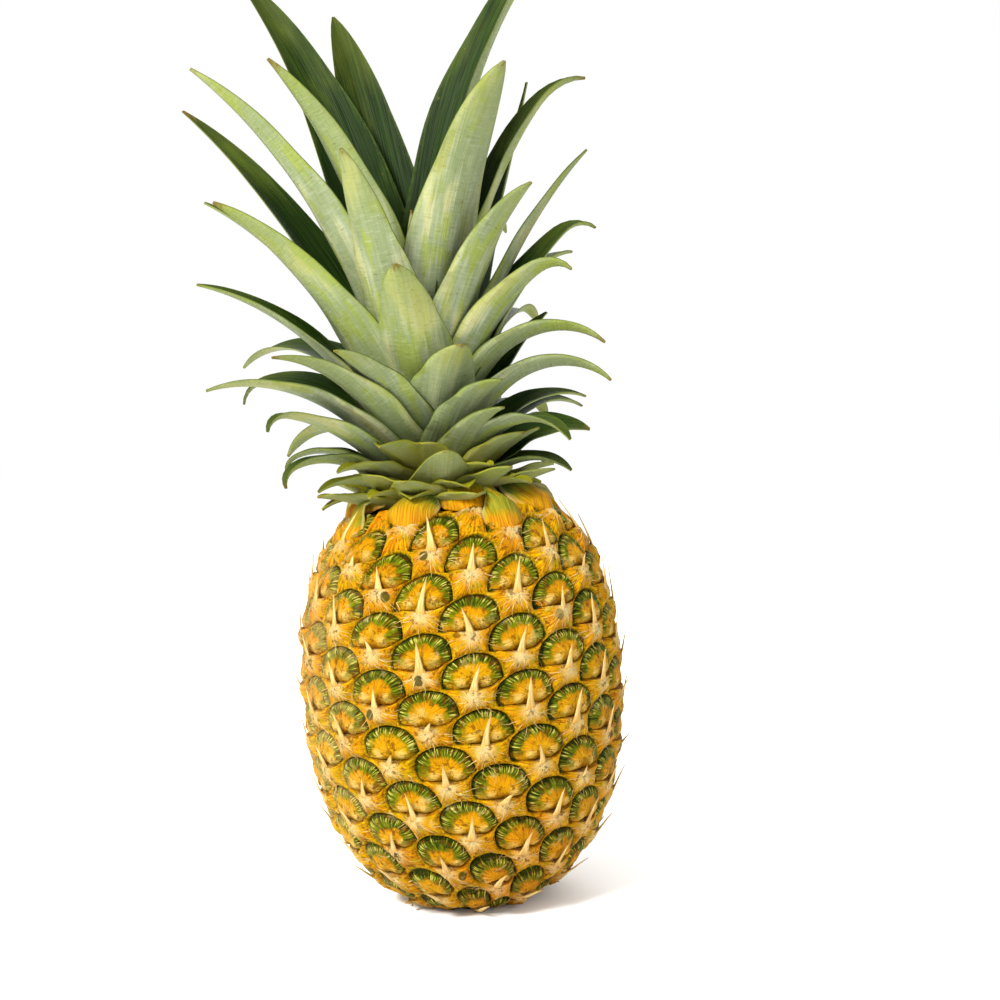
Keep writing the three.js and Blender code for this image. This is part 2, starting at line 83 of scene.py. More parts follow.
# Eyes, as in the solids
EYE_AREA = 322.0
MIDDLE_EYE_HEIGHT = 11.2
EYE_BEARING = 3.47
EYE_TURN = 137.213
EYE_TURN_DRIFT = -0.00641

# Eyes drawn here. The solids' further eyes are cut away or lie under the crown.
FIRST_EYE = -102
LAST_EYE = 72
COLLAR_EYE = 53
SPINE_EYES = range(FIRST_EYE, COLLAR_EYE + 6)
FIBRE_EYES = range(FIRST_EYE + 10, COLLAR_EYE + 12)
COLLAR_EYES = range(COLLAR_EYE, LAST_EYE - 1)
FLAT_EYE = 76
RELIEF_FADE = 10
LEAST_RELIEF = 0.15
STALK_HOLE = 12.2

# Shape of one eye, from the middle of its lens
LENS_ABOVE_MIDDLE = 2.3
LENS_HALF_WIDTH = 12.4
LENS_HALF_HEIGHT = 9.4
LENS_ROUNDING = 7.0
LENS_LOWER_HALF = 3.6
LENS_FULLNESS = 2.1
LENS_LOWER_FULLNESS = 4.0
LENS_BULGE = 1.5
LENS_EDGE = -0.6
LENS_UNEVENNESS = 0.06
LIP_LIFT = 0.5
LIP_RING = 0.86
LIP_WIDTH = 0.1
LOBE_LIFT = 0.7
LOBE_SPREAD = 4.2
LOBE_WIDTH = 2.8
LOBE_HEIGHT = 2.6
LOBE_DROP = 1.2
PLEATS = 13
PLEAT_LIFT = 0.22
LUMP_LIFT = 0.22
GROOVE_WIDTH = 0.9
GROOVE_DEPTH = -1.5
BORDER_LIFT = -0.4
LEDGE_WIDTH = 0.3
BRACT_PEAK = 1.7
BRACT_RIBS = 11
RIB_LIFT = 0.25
EYE_SHIFT = (0.8, 0.5)
RELIEF_UNEVENNESS = 0.2
SIDE_STEPS = 8
LENS_RINGS = (0.22, 0.42, 0.58, 0.72, 0.83, 0.92, 1.0)
OUTER_RINGS = (0.0, 0.25, 0.5, 0.75, 1.0)
OUTER_ZONE = 1.001

# Border of one eye, clockwise from its upper left corner, in steps to the eyes 8 and 13 further on
CORNERS = (
    (2 / 3, 1 / 3), (1 / 3, 2 / 3), (-1 / 3, 1 / 3),
    (-2 / 3, -1 / 3), (-1 / 3, -2 / 3), (1 / 3, -1 / 3),
)

# Bulge of each side of the border, which rounds the lens above and hollows the bract below
TOP_BULGE = (0.06, 0.065)
RIGHT_BULGE = (0.025, 0.115)
LEFT_BULGE = (0.125, 0.05)
BULGES = (TOP_BULGE, RIGHT_BULGE, LEFT_BULGE, TOP_BULGE, RIGHT_BULGE, LEFT_BULGE)

# Spines of the bracts
SPINE_ROOT = -3.4
SPINE_LENGTH = 12.0
SPINE_WIDTH = 2.7
SPINE_THICKNESS = 1.2
SPINE_ROWS = 10
SPINE_SWAY = 2.6
SPINE_FOOT_LIFT = 0.9
SPINE_LIFT = 1.9
SPINE_TIP_LIFT = 0.9
SPINE_TIP_WIDTH = 0.3
SPINE_TIP_THICKNESS = 0.25
SPINE_CLEARANCE = 0.4
STUNTED_BELOW = -0.7
STUNTED_LENGTH = 0.45
RIBBON_SECTION = ((-1, 0), (-0.5, 0.75), (0.5, 0.75), (1, 0), (0.5, -0.6), (-0.5, -0.6))

# Fibres of the bracts. A pair is the two ends of a range, and a fan is in radians.
FIBRES_PER_EYE = 12
FIBRE_ROWS = 5
FIBRE_FAN = (-1.45, 1.45)
FIBRE_TWIST = (-0.35, 0.35)
FIBRE_START = (0.5, 6)
FIBRE_LENGTH = (2.5, 5.5)
FIBRE_RISE = (0.0, 0.6)
FIBRE_WIDTH = (0.16, 0.36)
FIBRE_TIP_WIDTH = 0.07
FIBRE_FOOT_LIFT = 0.05
FIBRE_ROOT_SHIFT = 0.4
FIBRE_CLEARANCE = 0.5
RAY_TOP = 8.0
RAY_FOOT = -4.0

# Colours are written as fully lit, and a surface sends back this share of the light
ALBEDO = 0.62

# Crown, as in the solids
STEM_FOOT = (-6.0, 0.0, 141.0)
STEM_LEAN = -2.0
STEM_RADII = ((0, 19), (10, 17), (25, 13), (45, 8), (60, 5))
CORE_PROFILE = ((16.5, 0), (16.5, 9), (20.5, 13), (17, 25), (10.5, 45), (6, 60))
GOLDEN_ANGLE = 137.5
STEM_INSET = 0.9
STEM_SIDES = 32

# Leaves that the photo shows, one a line in the order of LEAF_FIELDS
LEAVES = (
    (-125, 40, 10, 34, 190, 32, -3, 1.8, 0, -30, 0.35),
    (108, 42, 3, 44, 194, 32, -6, 2.6, 0, 15, 0.6),
    (-150, 41, 10, 20, 162, 34, 0, 2.4, 0, -15, 0.35),
    (-62, 36, 5, 40, 136, 26, 0, 2.0, 0, 15, 0.45),
    (38, 38, 10, 38, 126, 32, -4, 3.4, 0, 0, 0.4),
    (130, 36, 25, -8, 136, 12, -12, 1.6, 0, 0, 0.4),
    (104, 34, 10, 38, 148, 26, 8, 2.2, 40, 8, 0.6),
    (-75, 34, 15, 36, 147, 25, -4, 1.9, 0, 20, 0.45),
    (-102, 34, 24, 24, 145, 25, 0, 1.7, 0, -30, 0.35),
    (-28, 32, 20, 8, 102, 28, -2, 2.4, 0, 0, 0.4),
    (112, 32, 24, 26, 126, 18, 14, 1.8, 0, -30, 0.4),
    (-9, 29, 24, 12, 66, 30, -4, 3.4, 0, 0, 0.4),
    (52, 28, 10, 44, 98, 26, 5, 3.2, 0, -5, 0.4),
    (-100, 28, 24, 36, 118, 22, 0, 1.8, 0, -15, 0.4),
    (105, 27, 24, 34, 108, 23, 15, 2.2, 60, 15, 0.45),
    (-128, 26, 38, 80, 104, 24, -5, 2.0, 0, -15, 0.35),
    (-62, 24, 24, 34, 112, 26, -9, 2.1, 0, 15, 0.45),
    (70, 24, 14, 58, 86, 24, 6, 2.4, 60, -20, 0.4),
    (115, 24, 36, 16, 66, 20, 0, 1.8, 0, 20, 0.4),
    (20, 20, 24, 28, 48, 30, 6, 3.6, 0, 0, 0.4),
    (-72, 20, 30, 44, 100, 24, -20, 2.0, 0, -15, 0.4),
    (82, 20, 12, 118, 84, 20, 0, 1.9, 0, -20, 0.35),
    (-36, 19, 28, 44, 58, 27, -4, 2.2, 0, 0, 0.4),
    (-108, 17, 34, 80, 82, 20, 0, 2.0, 60, -25, 0.35),
    (-50, 15, 30, 56, 72, 27, -9, 1.8, 0, 0, 0.4),
    (82, 15, 20, 114, 78, 19, 3, 1.9, 0, -20, 0.35),
    (38, 14, 28, 45, 47, 26, 0, 3.4, 0, 0, 0.4),
    (110, 14, 38, 70, 66, 16, 7, 1.8, 0, 20, 0.4),
    (-64, 13, 38, 66, 84, 23, -20, 1.7, 0, 0, 0.4),
    (122, 12, 42, 70, 74, 18, 10, 1.8, 0, 20, 0.4),
    (-26, 10, 42, 50, 34, 24, 0, 2.6, 0, 0, 0.4),
    (55, 9, 34, 104, 62, 20, -10, 2.4, 0, 0, 0.4),
    (92, 9, 44, 66, 55, 24, 0, 2.4, 0, 35, 0.35),
    (34, 9, 32, 46, 44, 21, 10, 2.4, 0, 0, 0.4),
    (-60, 9, 44, 48, 66, 22, 6, 1.8, 80, 0, 0.4),
    (-6, 7, 32, 20, 25, 26, 0, 3.2, 0, 0, 0.4),
    (-90, 7, 40, 92, 54, 14, -14, 1.6, 60, 0, 0.4),
    (54, 6, 38, 42, 38, 18, 0, 2.2, 0, 0, 0.4),
    (75, 6, 42, 26, 38, 15, 4, 2.0, 0, 0, 0.4),
    (-46, 6, 48, 60, 38, 20, 0, 2.2, 0, 0, 0.4),
    (14, 5, 44, 30, 26, 22, 0, 2.6, 0, 0, 0.4),
    (72, 4, 45, 85, 47, 19, -6, 2.2, 0, 10, 0.35),
    (-68, 4, 42, 92, 56, 19, 6, 2.2, 60, 0, 0.4),
    (32, 4, 44, 50, 30, 20, 10, 2.4, 0, 0, 0.4),
    (-52, 3, 54, 62, 42, 18, 0, 2.0, 0, 0, 0.4),
    (18, 3, 58, 46, 30, 20, 0, 2.6, 0, 0, 0.35),
    (52, 3, 62, 40, 34, 22, 0, 2.4, 0, 0, 0.35),
    (-34, 2, 60, 44, 30, 18, 0, 2.2, 0, 0, 0.35),
    (80, 3, 60, 44, 30, 18, 0, 2.2, 0, 0, 0.35),
    (-12, 1, 62, 36, 28, 20, 0, 2.4, 0, 0, 0.35),
    (-66, 2, 62, 60, 34, 14, 0, 2.0, 0, 0, 0.35),
)
LEAF_FIELDS = ("bearing", "rise", "lean", "bend", "length", "width", "sway", "blunt", "curl", "roll", "fold")

# Leaves at the back: pairs are the rise on the stem and the value there
BACK_LENGTHS = ((0, 42), (8, 60), (16, 82), (24, 104), (34, 132))
BACK_LEANS = ((0, 56), (8, 46), (16, 38), (24, 32), (34, 30))
BACK_BENDS = ((0, 60), (8, 80), (16, 74), (24, 60), (34, 46))
BACK_WIDTHS = ((0, 17), (8, 20), (16, 22), (24, 24), (34, 26))
BACK_COUNT = 64
BACK_START = 132
BACK_LOW_RISE = 2
BACK_TOP_RISE = 34

# Leaves in the heart of the crown: rise, length and lean
HEART = ((47, 62, 8), (51, 52, 6), (55, 42, 4))

# Blades
LEAF_ROWS = 34
LEAF_COLUMNS = 9
LEAF_BACK_THICKNESS = ((20, 1.5), (120, 2.4))
LEAF_TIP_THICKNESS = 0.7
LEAF_EDGE_THICKNESS = 0.8
LEAF_EDGE_TIP = 0.5
TIP_HALF_WIDTH = 0.5
ROOT_REACH = 0.6
ROOT_SHAPE = 0.85
SWELL_LENGTH = 0.7
TIP_TAPER = 0.7
CURL_START = 0.82
ROLL_LENGTH = 0.25
CLASP_FOLD = 0.85
CLASP_LENGTH = 0.3
MARGIN_RIPPLE = 0.05
RIPPLE_PHASES = (0, 6.3)
RIPPLE_WAVES = (2, 4.5)
NUMBER_STEP = 0.618

# Long bracts under the crown: values at parts of the way from the lowest to the topmost
COLLAR_ROWS = 12
COLLAR_COLUMNS = 7
COLLAR_ROOT_SHAPE = 0.3
COLLAR_ROOT_DROP = 1.5
COLLAR_SINK = 0.5
COLLAR_SWAY = 2.5
COLLAR_FOLD = 0.45
COLLAR_TIP_HALF_WIDTH = 0.5
COLLAR_LENGTHS = ((0, 18), (0.3, 25), (1, 32))
COLLAR_TILTS = ((0, 22), (0.3, 42), (1, 74))
COLLAR_WIDTHS = ((0, 13), (0.3, 24), (1, 28))

# Lowest young leaves, spread over the shoulders
YOUNG_COUNT = 15
YOUNG_START = 20
YOUNG_RISE = -1.5
YOUNG_LEAN = 66
YOUNG_LENGTH = 34
YOUNG_WIDTH = 25

# Cut stalk
STALK_CHAMFER = 0.6
STALK_SIDES = 48

random = np.random.default_rng(7)


def read(pairs, value):
    """Straight-line reading of (input, output) pairs."""
    return np.interp(value, [p[0] for p in pairs], [p[1] for p in pairs])


def scatter(key, kind):
    """Repeatable number between -1 and 1, the same as in the solids."""
    wave = math.sin(key * 12.9898 + kind * 78.233) * 43758.5453
    return 2 * (wave - math.floor(wave)) - 1


def eye_number(eye):
    """The eye's own number between 0 and 1, by which its colours vary."""
    return 0.5 + 0.5 * scatter(eye, 7)


def srgb(text, strength=ALBEDO):
    """Linear colour of a hexadecimal one, darkened to a surface's own."""
    values = [int(text[i:i + 2], 16) / 255 for i in (0, 2, 4)]
    linear = [v / 12.92 if v <= 0.04045 else ((v + 0.055) / 1.055) ** 2.4 for v in values]
    return (*[v * strength for v in linear], 1.0)


# Fruit surface

def body_radius(height):
    part = np.clip(np.abs(height) / BODY_HALF_HEIGHT, 0, 1)
    swell = (1 - part ** BODY_SQUARENESS) ** (1 / BODY_SQUARENESS)
    return BODY_RADIUS * swell * (1 + BODY_TOP_HEAVINESS * height / BODY_HALF_HEIGHT)


def body_outline():
    """(radius, height) points from below the base to above the crown's seat."""
    base = float(body_radius(-BODY_MIDDLE))
    points = [(base, z) for z in np.arange(-STUB_LENGTH, 0, STUB_STEP)]
    height = -BODY_MIDDLE
    while height < 0 or body_radius(height) > SHOULDER_RADIUS:
        points.append((float(body_radius(height)), height + BODY_MIDDLE))
        height += PROFILE_STEP
    shoulder = height + BODY_MIDDLE
    for radius in np.arange(SHOULDER_RADIUS, SEAT_RADIUS, -PROFILE_STEP):
        inward = (SHOULDER_RADIUS - radius) / (SHOULDER_RADIUS - SEAT_RADIUS)
        points.append((radius, shoulder - SEAT_DEPTH * inward ** 2))
    top = shoulder - SEAT_DEPTH
    points += [(SEAT_RADIUS, top + z) for z in np.arange(0, STUB_LENGTH + 1, STUB_STEP)]
    return np.array(points)


class Skin:
    """The fruit's smooth surface, read by running eye number and bearing."""

    def __init__(self):
        outline = body_outline()
        radius, height = outline.T
        step = np.hypot(np.diff(radius), np.diff(height))
        speed = np.where(np.diff(radius) == 0, STUB_SPEED, 1.0)
        area = np.pi * (radius[1:] + radius[:-1]) * step * speed
        area = np.concatenate([[0], np.cumsum(area)])
        middle = np.argmax(height - BODY_MIDDLE >= MIDDLE_EYE_HEIGHT)
        self.eye = (area - area[middle]) / EYE_AREA
        self.arc = np.concatenate([[0], np.cumsum(step)])
        self.radius, self.height = radius, height
        last = len(radius) - 1
        index = np.arange(len(radius))
        before, after = np.maximum(index - 2, 0), np.minimum(index + 2, last)
        length = np.hypot(radius[after] - radius[before], height[after] - height[before])
        self.along = (radius[after] - radius[before]) / length
        self.up = (height[after] - height[before]) / length

    def read(self, name, eye):
        return np.interp(eye, self.eye, getattr(self, name))

    def bearing(self, eye, left=0.0, right=0.0):
        """Bearing in radians of the point that many steps left and right of a whole eye."""
        place = eye + 8 * left + 13 * right
        turned = EYE_TURN * place + 0.5 * EYE_TURN_DRIFT * place ** 2
        return np.radians(EYE_BEARING - turned + 360 * (3 * left + 5 * right))

    def point(self, eye, left, right, lift):
        place = eye + 8 * left + 13 * right
        angle = self.bearing(eye, left, right)
        radius = self.read("radius", place) + lift * self.read("up", place)
        height = self.read("height", place) - lift * self.read("along", place)
        return np.stack([radius * np.sin(angle), -radius * np.cos(angle), height], -1)

    def steps(self, eye):
        """The steps left and right from an eye as (across, up) in millimetres."""
        rows = []
        for left, right in ((0.5, 0.0), (0.0, 0.5)):
            place = np.array([-1, 1]) * (8 * left + 13 * right) + eye
            turn = self.bearing(eye, left, right) - self.bearing(eye, -left, -right)
            arc = np.diff(self.read("arc", place))[0]
            rows.append((turn * self.read("radius", eye), arc))
        return np.array(rows).T


SKIN = Skin()


# Meshes

class Builder:
    """Collects patches of one mesh with its named point values."""

    def __init__(self):
        self.points, self.faces, self.values, self.count = [], [], {}, 0

    def add(self, points, faces, **values):
        self.points.append(np.asarray(points, float))
        self.faces += [[self.count + i for i in face] for face in faces]
        for name, value in values.items():
            self.values.setdefault(name, []).append(np.asarray(value, float))
        self.count += len(points)

    def build(self, name, material, sharp=None):
        mesh = bpy.data.meshes.new(name)
        mesh.from_pydata((np.concatenate(self.points) * MM).tolist(), [], self.faces)
        for key, parts in self.values.items():
            data = np.concatenate(parts)
            attribute = mesh.attributes.new(key, "FLOAT_VECTOR", "POINT")
            attribute.data.foreach_set("vector", data.ravel())
        mesh.polygons.foreach_set("use_smooth", [True] * len(mesh.polygons))
        if sharp is not None:
            mesh.set_sharp_from_angle(angle=math.radians(sharp))
        mesh.materials.append(material)
        mesh.update()
        piece = bpy.data.objects.new(name, mesh)
        bpy.context.scene.collection.objects.link(piece)
        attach(piece, "root")
        return piece


def ring_faces(rings, sides):
    """Quads between rings that are numbered ring by ring, outermost last."""
    faces = []
    for ring in range(rings - 1):
        for side in range(sides):
            a, b = ring * sides + side, ring * sides + (side + 1) % sides
            faces.append([a, b, b + sides, a + sides])
    return faces


def tube_faces(rings, sides):
    """A tube of rings with flat ends."""
    last = (rings - 1) * sides
    ends = [list(range(sides - 1, -1, -1)), [last + i for i in range(sides)]]
    return ring_faces(rings, sides) + ends


# Rind

def eye_border():
    """Border points in steps left and right, and how far each belongs to the bract."""
    places, bract = [], []
    for corner in range(6):
        start, end = np.array(CORNERS[corner]), np.array(CORNERS[(corner + 1) % 6])
        for i in range(SIDE_STEPS):
            part = i / SIDE_STEPS
            bulge = np.array(BULGES[corner]) * math.sin(math.pi * part)
            places.append(start + (end - start) * part + bulge)
            bract.append(corner + part)
    turn = np.array(bract)
    depth = np.clip(1 - np.abs(turn - 3.5) / 1.5, 0, 1)
    return np.array(places), depth


def eye_fade(place):
    """Relief fades under the crown."""
    return np.clip((FLAT_EYE - np.asarray(place, float)) / RELIEF_FADE, LEAST_RELIEF, 1)


def settle(points):
    """Folds what hangs below the floor flat under the base, as far as the cut stalk."""
    below = np.minimum(points[:, 2], 0)
    radius = np.hypot(points[:, 0], points[:, 1])
    wanted = np.where(below < 0, np.maximum(radius + below, STALK_HOLE), radius)
    points[:, :2] *= (wanted / radius)[:, None]
    points[:, 2] = np.maximum(points[:, 2], 0)
    return points


def lens_rim(eye, ray_mm, length):
    """How far the lens reaches along each ray from its middle to the border of the eye."""
    cosine, sine = (ray_mm / length[:, None]).T
    upper = sine > 0
    half_height = np.where(upper, LENS_HALF_HEIGHT, LENS_LOWER_HALF)
    power = np.where(upper, LENS_FULLNESS, LENS_LOWER_FULLNESS)
    sides = np.abs(cosine / LENS_HALF_WIDTH) ** power + np.abs(sine / half_height) ** power
    oval = sides ** (-1 / power) * (1 + LENS_UNEVENNESS * scatter(eye, 5)) / length
    limit = 1 - GROOVE_WIDTH / length
    soft = -np.log(np.exp(-LENS_ROUNDING * oval) + np.exp(-LENS_ROUNDING * limit)) / LENS_ROUNDING
    return np.minimum(soft, limit)


def lens_lift(eye, across, up, ring):
    """Height of the lens: a low dome with two lobes, radial pleats and a raised lip."""
    angle = np.arctan2(up, across)
    upper = np.clip(up / 3 + 0.5, 0, 1)
    lobe_across = (np.abs(across) - LOBE_SPREAD) / LOBE_WIDTH
    lobes = np.exp(-lobe_across ** 2 - ((up + LOBE_DROP) / LOBE_HEIGHT) ** 2)
    pleats = np.sin(PLEATS * angle + 3 * scatter(eye, 13)) * np.clip(ring / 0.5 - 0.9, 0, 1)
    lip = np.exp(-((ring - LIP_RING) / LIP_WIDTH) ** 2) * upper
    dome = LENS_EDGE + LENS_BULGE * (1 - ring ** 2.4)
    return dome + LOBE_LIFT * lobes + PLEAT_LIFT * pleats + LIP_LIFT * lip


def bract_lift(eye, across, up, part, depth):
    """Height between the lens and the border: a ribbed bract below and a groove at the lens above."""
    fan = np.arctan2(across, up + LENS_LOWER_HALF)
    ribs = np.sin(BRACT_RIBS * fan + 3 * scatter(eye, 14)) * np.sin(np.pi * np.minimum(part, 1))
    slope = BRACT_PEAK * (1 + 0.25 * np.sin(np.pi * part)) * (1 - part ** 3) + RIB_LIFT * ribs
    bract = (0.5 + 0.5 * depth) * slope + BORDER_LIFT * part ** 3
    dip = np.sin(np.pi * np.minimum(part / 0.7, 1)) * (1 - part)
    groove = LENS_EDGE + (BORDER_LIFT - LENS_EDGE) * part + (GROOVE_DEPTH - LENS_EDGE) * 2 * dip
    return groove + (bract - groove) * np.clip(depth / 0.3, 0, 1)


def lumps(eye, across, up):
    """Slight unevenness that differs from eye to eye."""
    phase = 3 * scatter(eye, 15)
    return LUMP_LIFT * np.sin(0.9 * across + 1.3 * phase) * np.sin(1.1 * up + phase)


def add_eye(builder, eye, border, depth):
    """Rings from the middle of the lens to the border. A zone above 1 lies outside the lens."""
    steps = SKIN.steps(eye)
    offset = (EYE_SHIFT[0] * scatter(eye, 3), LENS_ABOVE_MIDDLE + EYE_SHIFT[1] * scatter(eye, 4))
    middle = np.linalg.inv(steps) @ np.array(offset)
    ray = border - middle
    ray_mm = ray @ steps.T
    length = np.hypot(*ray_mm.T)
    rim = lens_rim(eye, ray_mm, length)
    ledge = rim + LEDGE_WIDTH / length
    places, zones = [middle[None, :]], [np.zeros(1)]
    for ring in LENS_RINGS:
        places.append(middle + ray * (rim * ring)[:, None])
        zones.append(np.full(len(ray), ring))
    for ring in OUTER_RINGS:
        places.append(middle + ray * np.minimum(ledge + (1 - ledge) * ring, 1)[:, None])
        zones.append(np.full(len(ray), OUTER_ZONE + ring))
    places, zone = np.concatenate(places), np.concatenate(zones)
    weight = np.concatenate([[0.5], np.tile(depth, len(LENS_RINGS) + len(OUTER_RINGS))])
    across, up = ((places - middle) @ steps.T).T
    inside = lens_lift(eye, across, up, np.minimum(zone, 1))
    outside = bract_lift(eye, across, up, np.clip(zone - OUTER_ZONE, 0, 1), weight)
    lift = np.where(zone > 1, outside, inside) + lumps(eye, across, up)
    lift *= eye_fade(eye) * (1 + RELIEF_UNEVENNESS * scatter(eye, 6))
    edge = slice(len(places) - len(ray), None)
    lift[edge] = BORDER_LIFT * eye_fade(eye + 8 * border[:, 0] + 13 * border[:, 1])
    points = settle(SKIN.point(eye, places[:, 0], places[:, 1], lift))
    count = len(ray)
    faces = [[0, 1 + (i + 1) % count, 1 + i] for i in range(count)]
    rings = len(LENS_RINGS) + len(OUTER_RINGS)
    faces += [[1 + i for i in face[::-1]] for face in ring_faces(rings, count)]
    number = np.full(len(points), eye_number(eye))
    builder.add(
        points, faces,
        eye_place=np.stack([across, up, number], -1),
        eye_zone=np.stack([zone, weight, np.zeros(len(points))], -1),
    )


def rind():
    builder = Builder()
    border, depth = eye_border()
    for eye in range(FIRST_EYE, LAST_EYE + 1):
        add_eye(builder, eye, border, depth)
    piece = builder.build("rind", rind_material(), sharp=55)
    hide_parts("fruit")
    return piece


# Spines and fibres

def along_skin(eye, across, up, lift):
    """Points of the skin at millimetres across and up from an eye's middle."""
    inverse = np.linalg.inv(SKIN.steps(eye))
    left, right = inverse @ np.array([across, up])
    return SKIN.point(eye, left, right, np.asarray(lift))


def ribbon(builder, centres, widths, thicknesses, outs, number, start=0.0):
    """A closed blade of flat oval section along centre points."""
    along = np.gradient(centres, axis=0)
    along /= np.linalg.norm(along, axis=1)[:, None]
    side = np.cross(along, outs)
    side /= np.linalg.norm(side, axis=1)[:, None]
    out = np.cross(side, along)
    points, values = [], []
    for i, centre in enumerate(centres):
        part = start + (1 - start) * i / (len(centres) - 1)
        for across, lift in RIBBON_SECTION:
            across *= widths[i] / 2
            points.append(centre + side[i] * across + out[i] * lift * thicknesses[i] / 2)
            values.append((part, across, number))
    builder.add(np.array(points), tube_faces(len(centres), len(RIBBON_SECTION)), spine_place=values)


def outward(points):
    """Unit directions away from the fruit's axis."""
    outs = points * np.array([1, 1, 0])
    return outs / (np.linalg.norm(outs, axis=1)[:, None] + 1e-9)


def spines():
    builder = Builder()
    for eye in SPINE_EYES:
        parts = np.linspace(0, 1, SPINE_ROWS)
        stunted = STUNTED_LENGTH if scatter(eye, 16) < STUNTED_BELOW else 1
        length = SPINE_LENGTH * (0.88 + 0.2 * scatter(eye, 8)) * stunted
        across = 0.5 * scatter(eye, 3) + SPINE_SWAY * scatter(eye, 9) * parts ** 1.6
        up = SPINE_ROOT + length * parts
        lift = SPINE_FOOT_LIFT + SPINE_LIFT * parts ** 0.6 * (1 + 0.3 * scatter(eye, 10))
        lift += SPINE_TIP_LIFT * parts ** 3
        centres = along_skin(eye, across, up, lift)
        if centres[:, 2].min() < SPINE_CLEARANCE:
            continue
        width = SPINE_WIDTH * (1 + 0.2 * scatter(eye, 11)) * (1 - parts) ** 0.75
        width = np.maximum(width * (1 + 0.9 * (1 - parts) ** 7), SPINE_TIP_WIDTH)
        thickness = np.maximum(SPINE_THICKNESS * (1 - 0.75 * parts), SPINE_TIP_THICKNESS)
        ribbon(builder, centres, width, thickness, outward(centres), eye_number(eye))
    builder.build("bract_spines", spine_material())


def surface_points(tree, eye, across, up, lifts):
    """Points at the given heights over the dressed rind instead of over the smooth skin."""
    high = along_skin(eye, across, up, np.full(len(across), RAY_TOP))
    low = along_skin(eye, across, up, np.full(len(across), RAY_FOOT))
    points = []
    for start, end, lift in zip(high, low, lifts):
        direction = Vector(end - start).normalized()
        hit = tree.ray_cast(Vector(start) * MM, direction)[0]
        if hit is None:
            return None
        points.append(np.array(hit) / MM - np.array(direction) * lift)
    return np.array(points)


def fibres(rind_piece):
    mesh = rind_piece.data
    tree = BVHTree.FromPolygons([v.co for v in mesh.vertices], [p.vertices for p in mesh.polygons])
    builder = Builder()
    parts = np.linspace(0, 1, FIBRE_ROWS)
    for eye in FIBRE_EYES:
        for _ in range(FIBRES_PER_EYE):
            fan = random.uniform(*FIBRE_FAN) + random.uniform(*FIBRE_TWIST) * parts ** 1.5
            reach = random.uniform(*FIBRE_START) + random.uniform(*FIBRE_LENGTH) * parts
            across = reach * np.sin(fan) * (1 + 0.2 * np.abs(np.sin(fan)))
            up = SPINE_ROOT + FIBRE_ROOT_SHIFT - reach * np.cos(fan)
            lifts = FIBRE_FOOT_LIFT + random.uniform(*FIBRE_RISE) * parts ** 2
            centres = surface_points(tree, eye, across, up, lifts)
            if centres is None or centres[:, 2].min() < FIBRE_CLEARANCE:
                continue
            width = np.maximum(random.uniform(*FIBRE_WIDTH) * (1 - 0.7 * parts), FIBRE_TIP_WIDTH)
            ribbon(builder, centres, width, width, outward(centres), random.uniform(0, 1), start=0.5)
    builder.build("bract_fibres", spine_material())


# Crown

def listed_leaf(values):
    return dict(zip(LEAF_FIELDS, values))


def back_leaves():
    leaves = []
    for i in range(BACK_COUNT):
        rise = BACK_LOW_RISE + (BACK_TOP_RISE - BACK_LOW_RISE) * i / BACK_COUNT
        bearing = ((BACK_START + GOLDEN_ANGLE * i) % 360 + 540) % 360 - 180
        if abs(bearing) < BACK_START:
            continue
        leaves.append({
            "bearing": bearing,
            "rise": rise,
            "lean": read(BACK_LEANS, rise) + 4 * scatter(i, 4),
            "bend": read(BACK_BENDS, rise) + 14 * scatter(i, 5),
            "length": read(BACK_LENGTHS, rise) * (1 + 0.1 * scatter(i, 6)),
            "width": read(BACK_WIDTHS, rise),
            "sway": 12 * scatter(i, 7),
            "blunt": 2,
            "curl": 50 if i % 3 == 0 else 0,
            "roll": 12 * scatter(i, 8),
            "fold": 0.4,
        })
    return leaves


def heart_leaves():
    return [
        listed_leaf((GOLDEN_ANGLE * i, rise, lean, 8, length, 14, 0, 2, 0, 0, 0.5))
        for i, (rise, length, lean) in enumerate(HEART)
    ]


def young_leaves():
    return [{
        "bearing": (GOLDEN_ANGLE * i + YOUNG_START) % 360,
        "rise": YOUNG_RISE + 0.25 * i,
        "lean": YOUNG_LEAN - i + 4 * scatter(i, 21),
        "bend": 20 + 12 * scatter(i, 22),
        "length": YOUNG_LENGTH + 4 * scatter(i, 23),
        "width": YOUNG_WIDTH,
        "sway": 8 * scatter(i, 24),
        "blunt": 2.4,
        "curl": 0,
        "roll": 6 * scatter(i, 25),
        "fold": 0.3,
    } for i in range(YOUNG_COUNT)]


def stem_point(rise):
    lean = math.radians(STEM_LEAN)
    x, y, z = STEM_FOOT
    return np.array([x + math.sin(lean) * rise, y, z + math.cos(lean) * rise])


def blade_shape(part, blunt):
    """Width along a blade as a share of its full width."""
    swell = ROOT_SHAPE + (1 - ROOT_SHAPE) * np.sin(np.pi * np.minimum(part / SWELL_LENGTH, 1))
    return swell * np.maximum(1 - part ** blunt, 0) ** TIP_TAPER


def leaf_frame(leaf, part):
    """Directions along and across a leaf and towards its inner face, at parts of its length."""
    tip_curl = leaf["curl"] * np.maximum((part - CURL_START) / (1 - CURL_START), 0) ** 1.5
    lean = np.radians(leaf["lean"] + leaf["bend"] * part ** 1.6 + tip_curl)
    bearing = np.radians(leaf["bearing"] + leaf["sway"] * part ** 1.5)
    roll = np.radians(leaf["roll"]) * np.minimum(part / ROLL_LENGTH, 1)
    zero = np.zeros_like(part)
    along = np.stack([np.sin(lean) * np.sin(bearing), -np.sin(lean) * np.cos(bearing), np.cos(lean)], -1)
    side = np.stack([np.cos(bearing), np.sin(bearing), zero], -1)
    inner = np.cross(along, side)
    across = side * np.cos(roll)[:, None] + inner * np.sin(roll)[:, None]
    return along, across, np.cross(along, across)


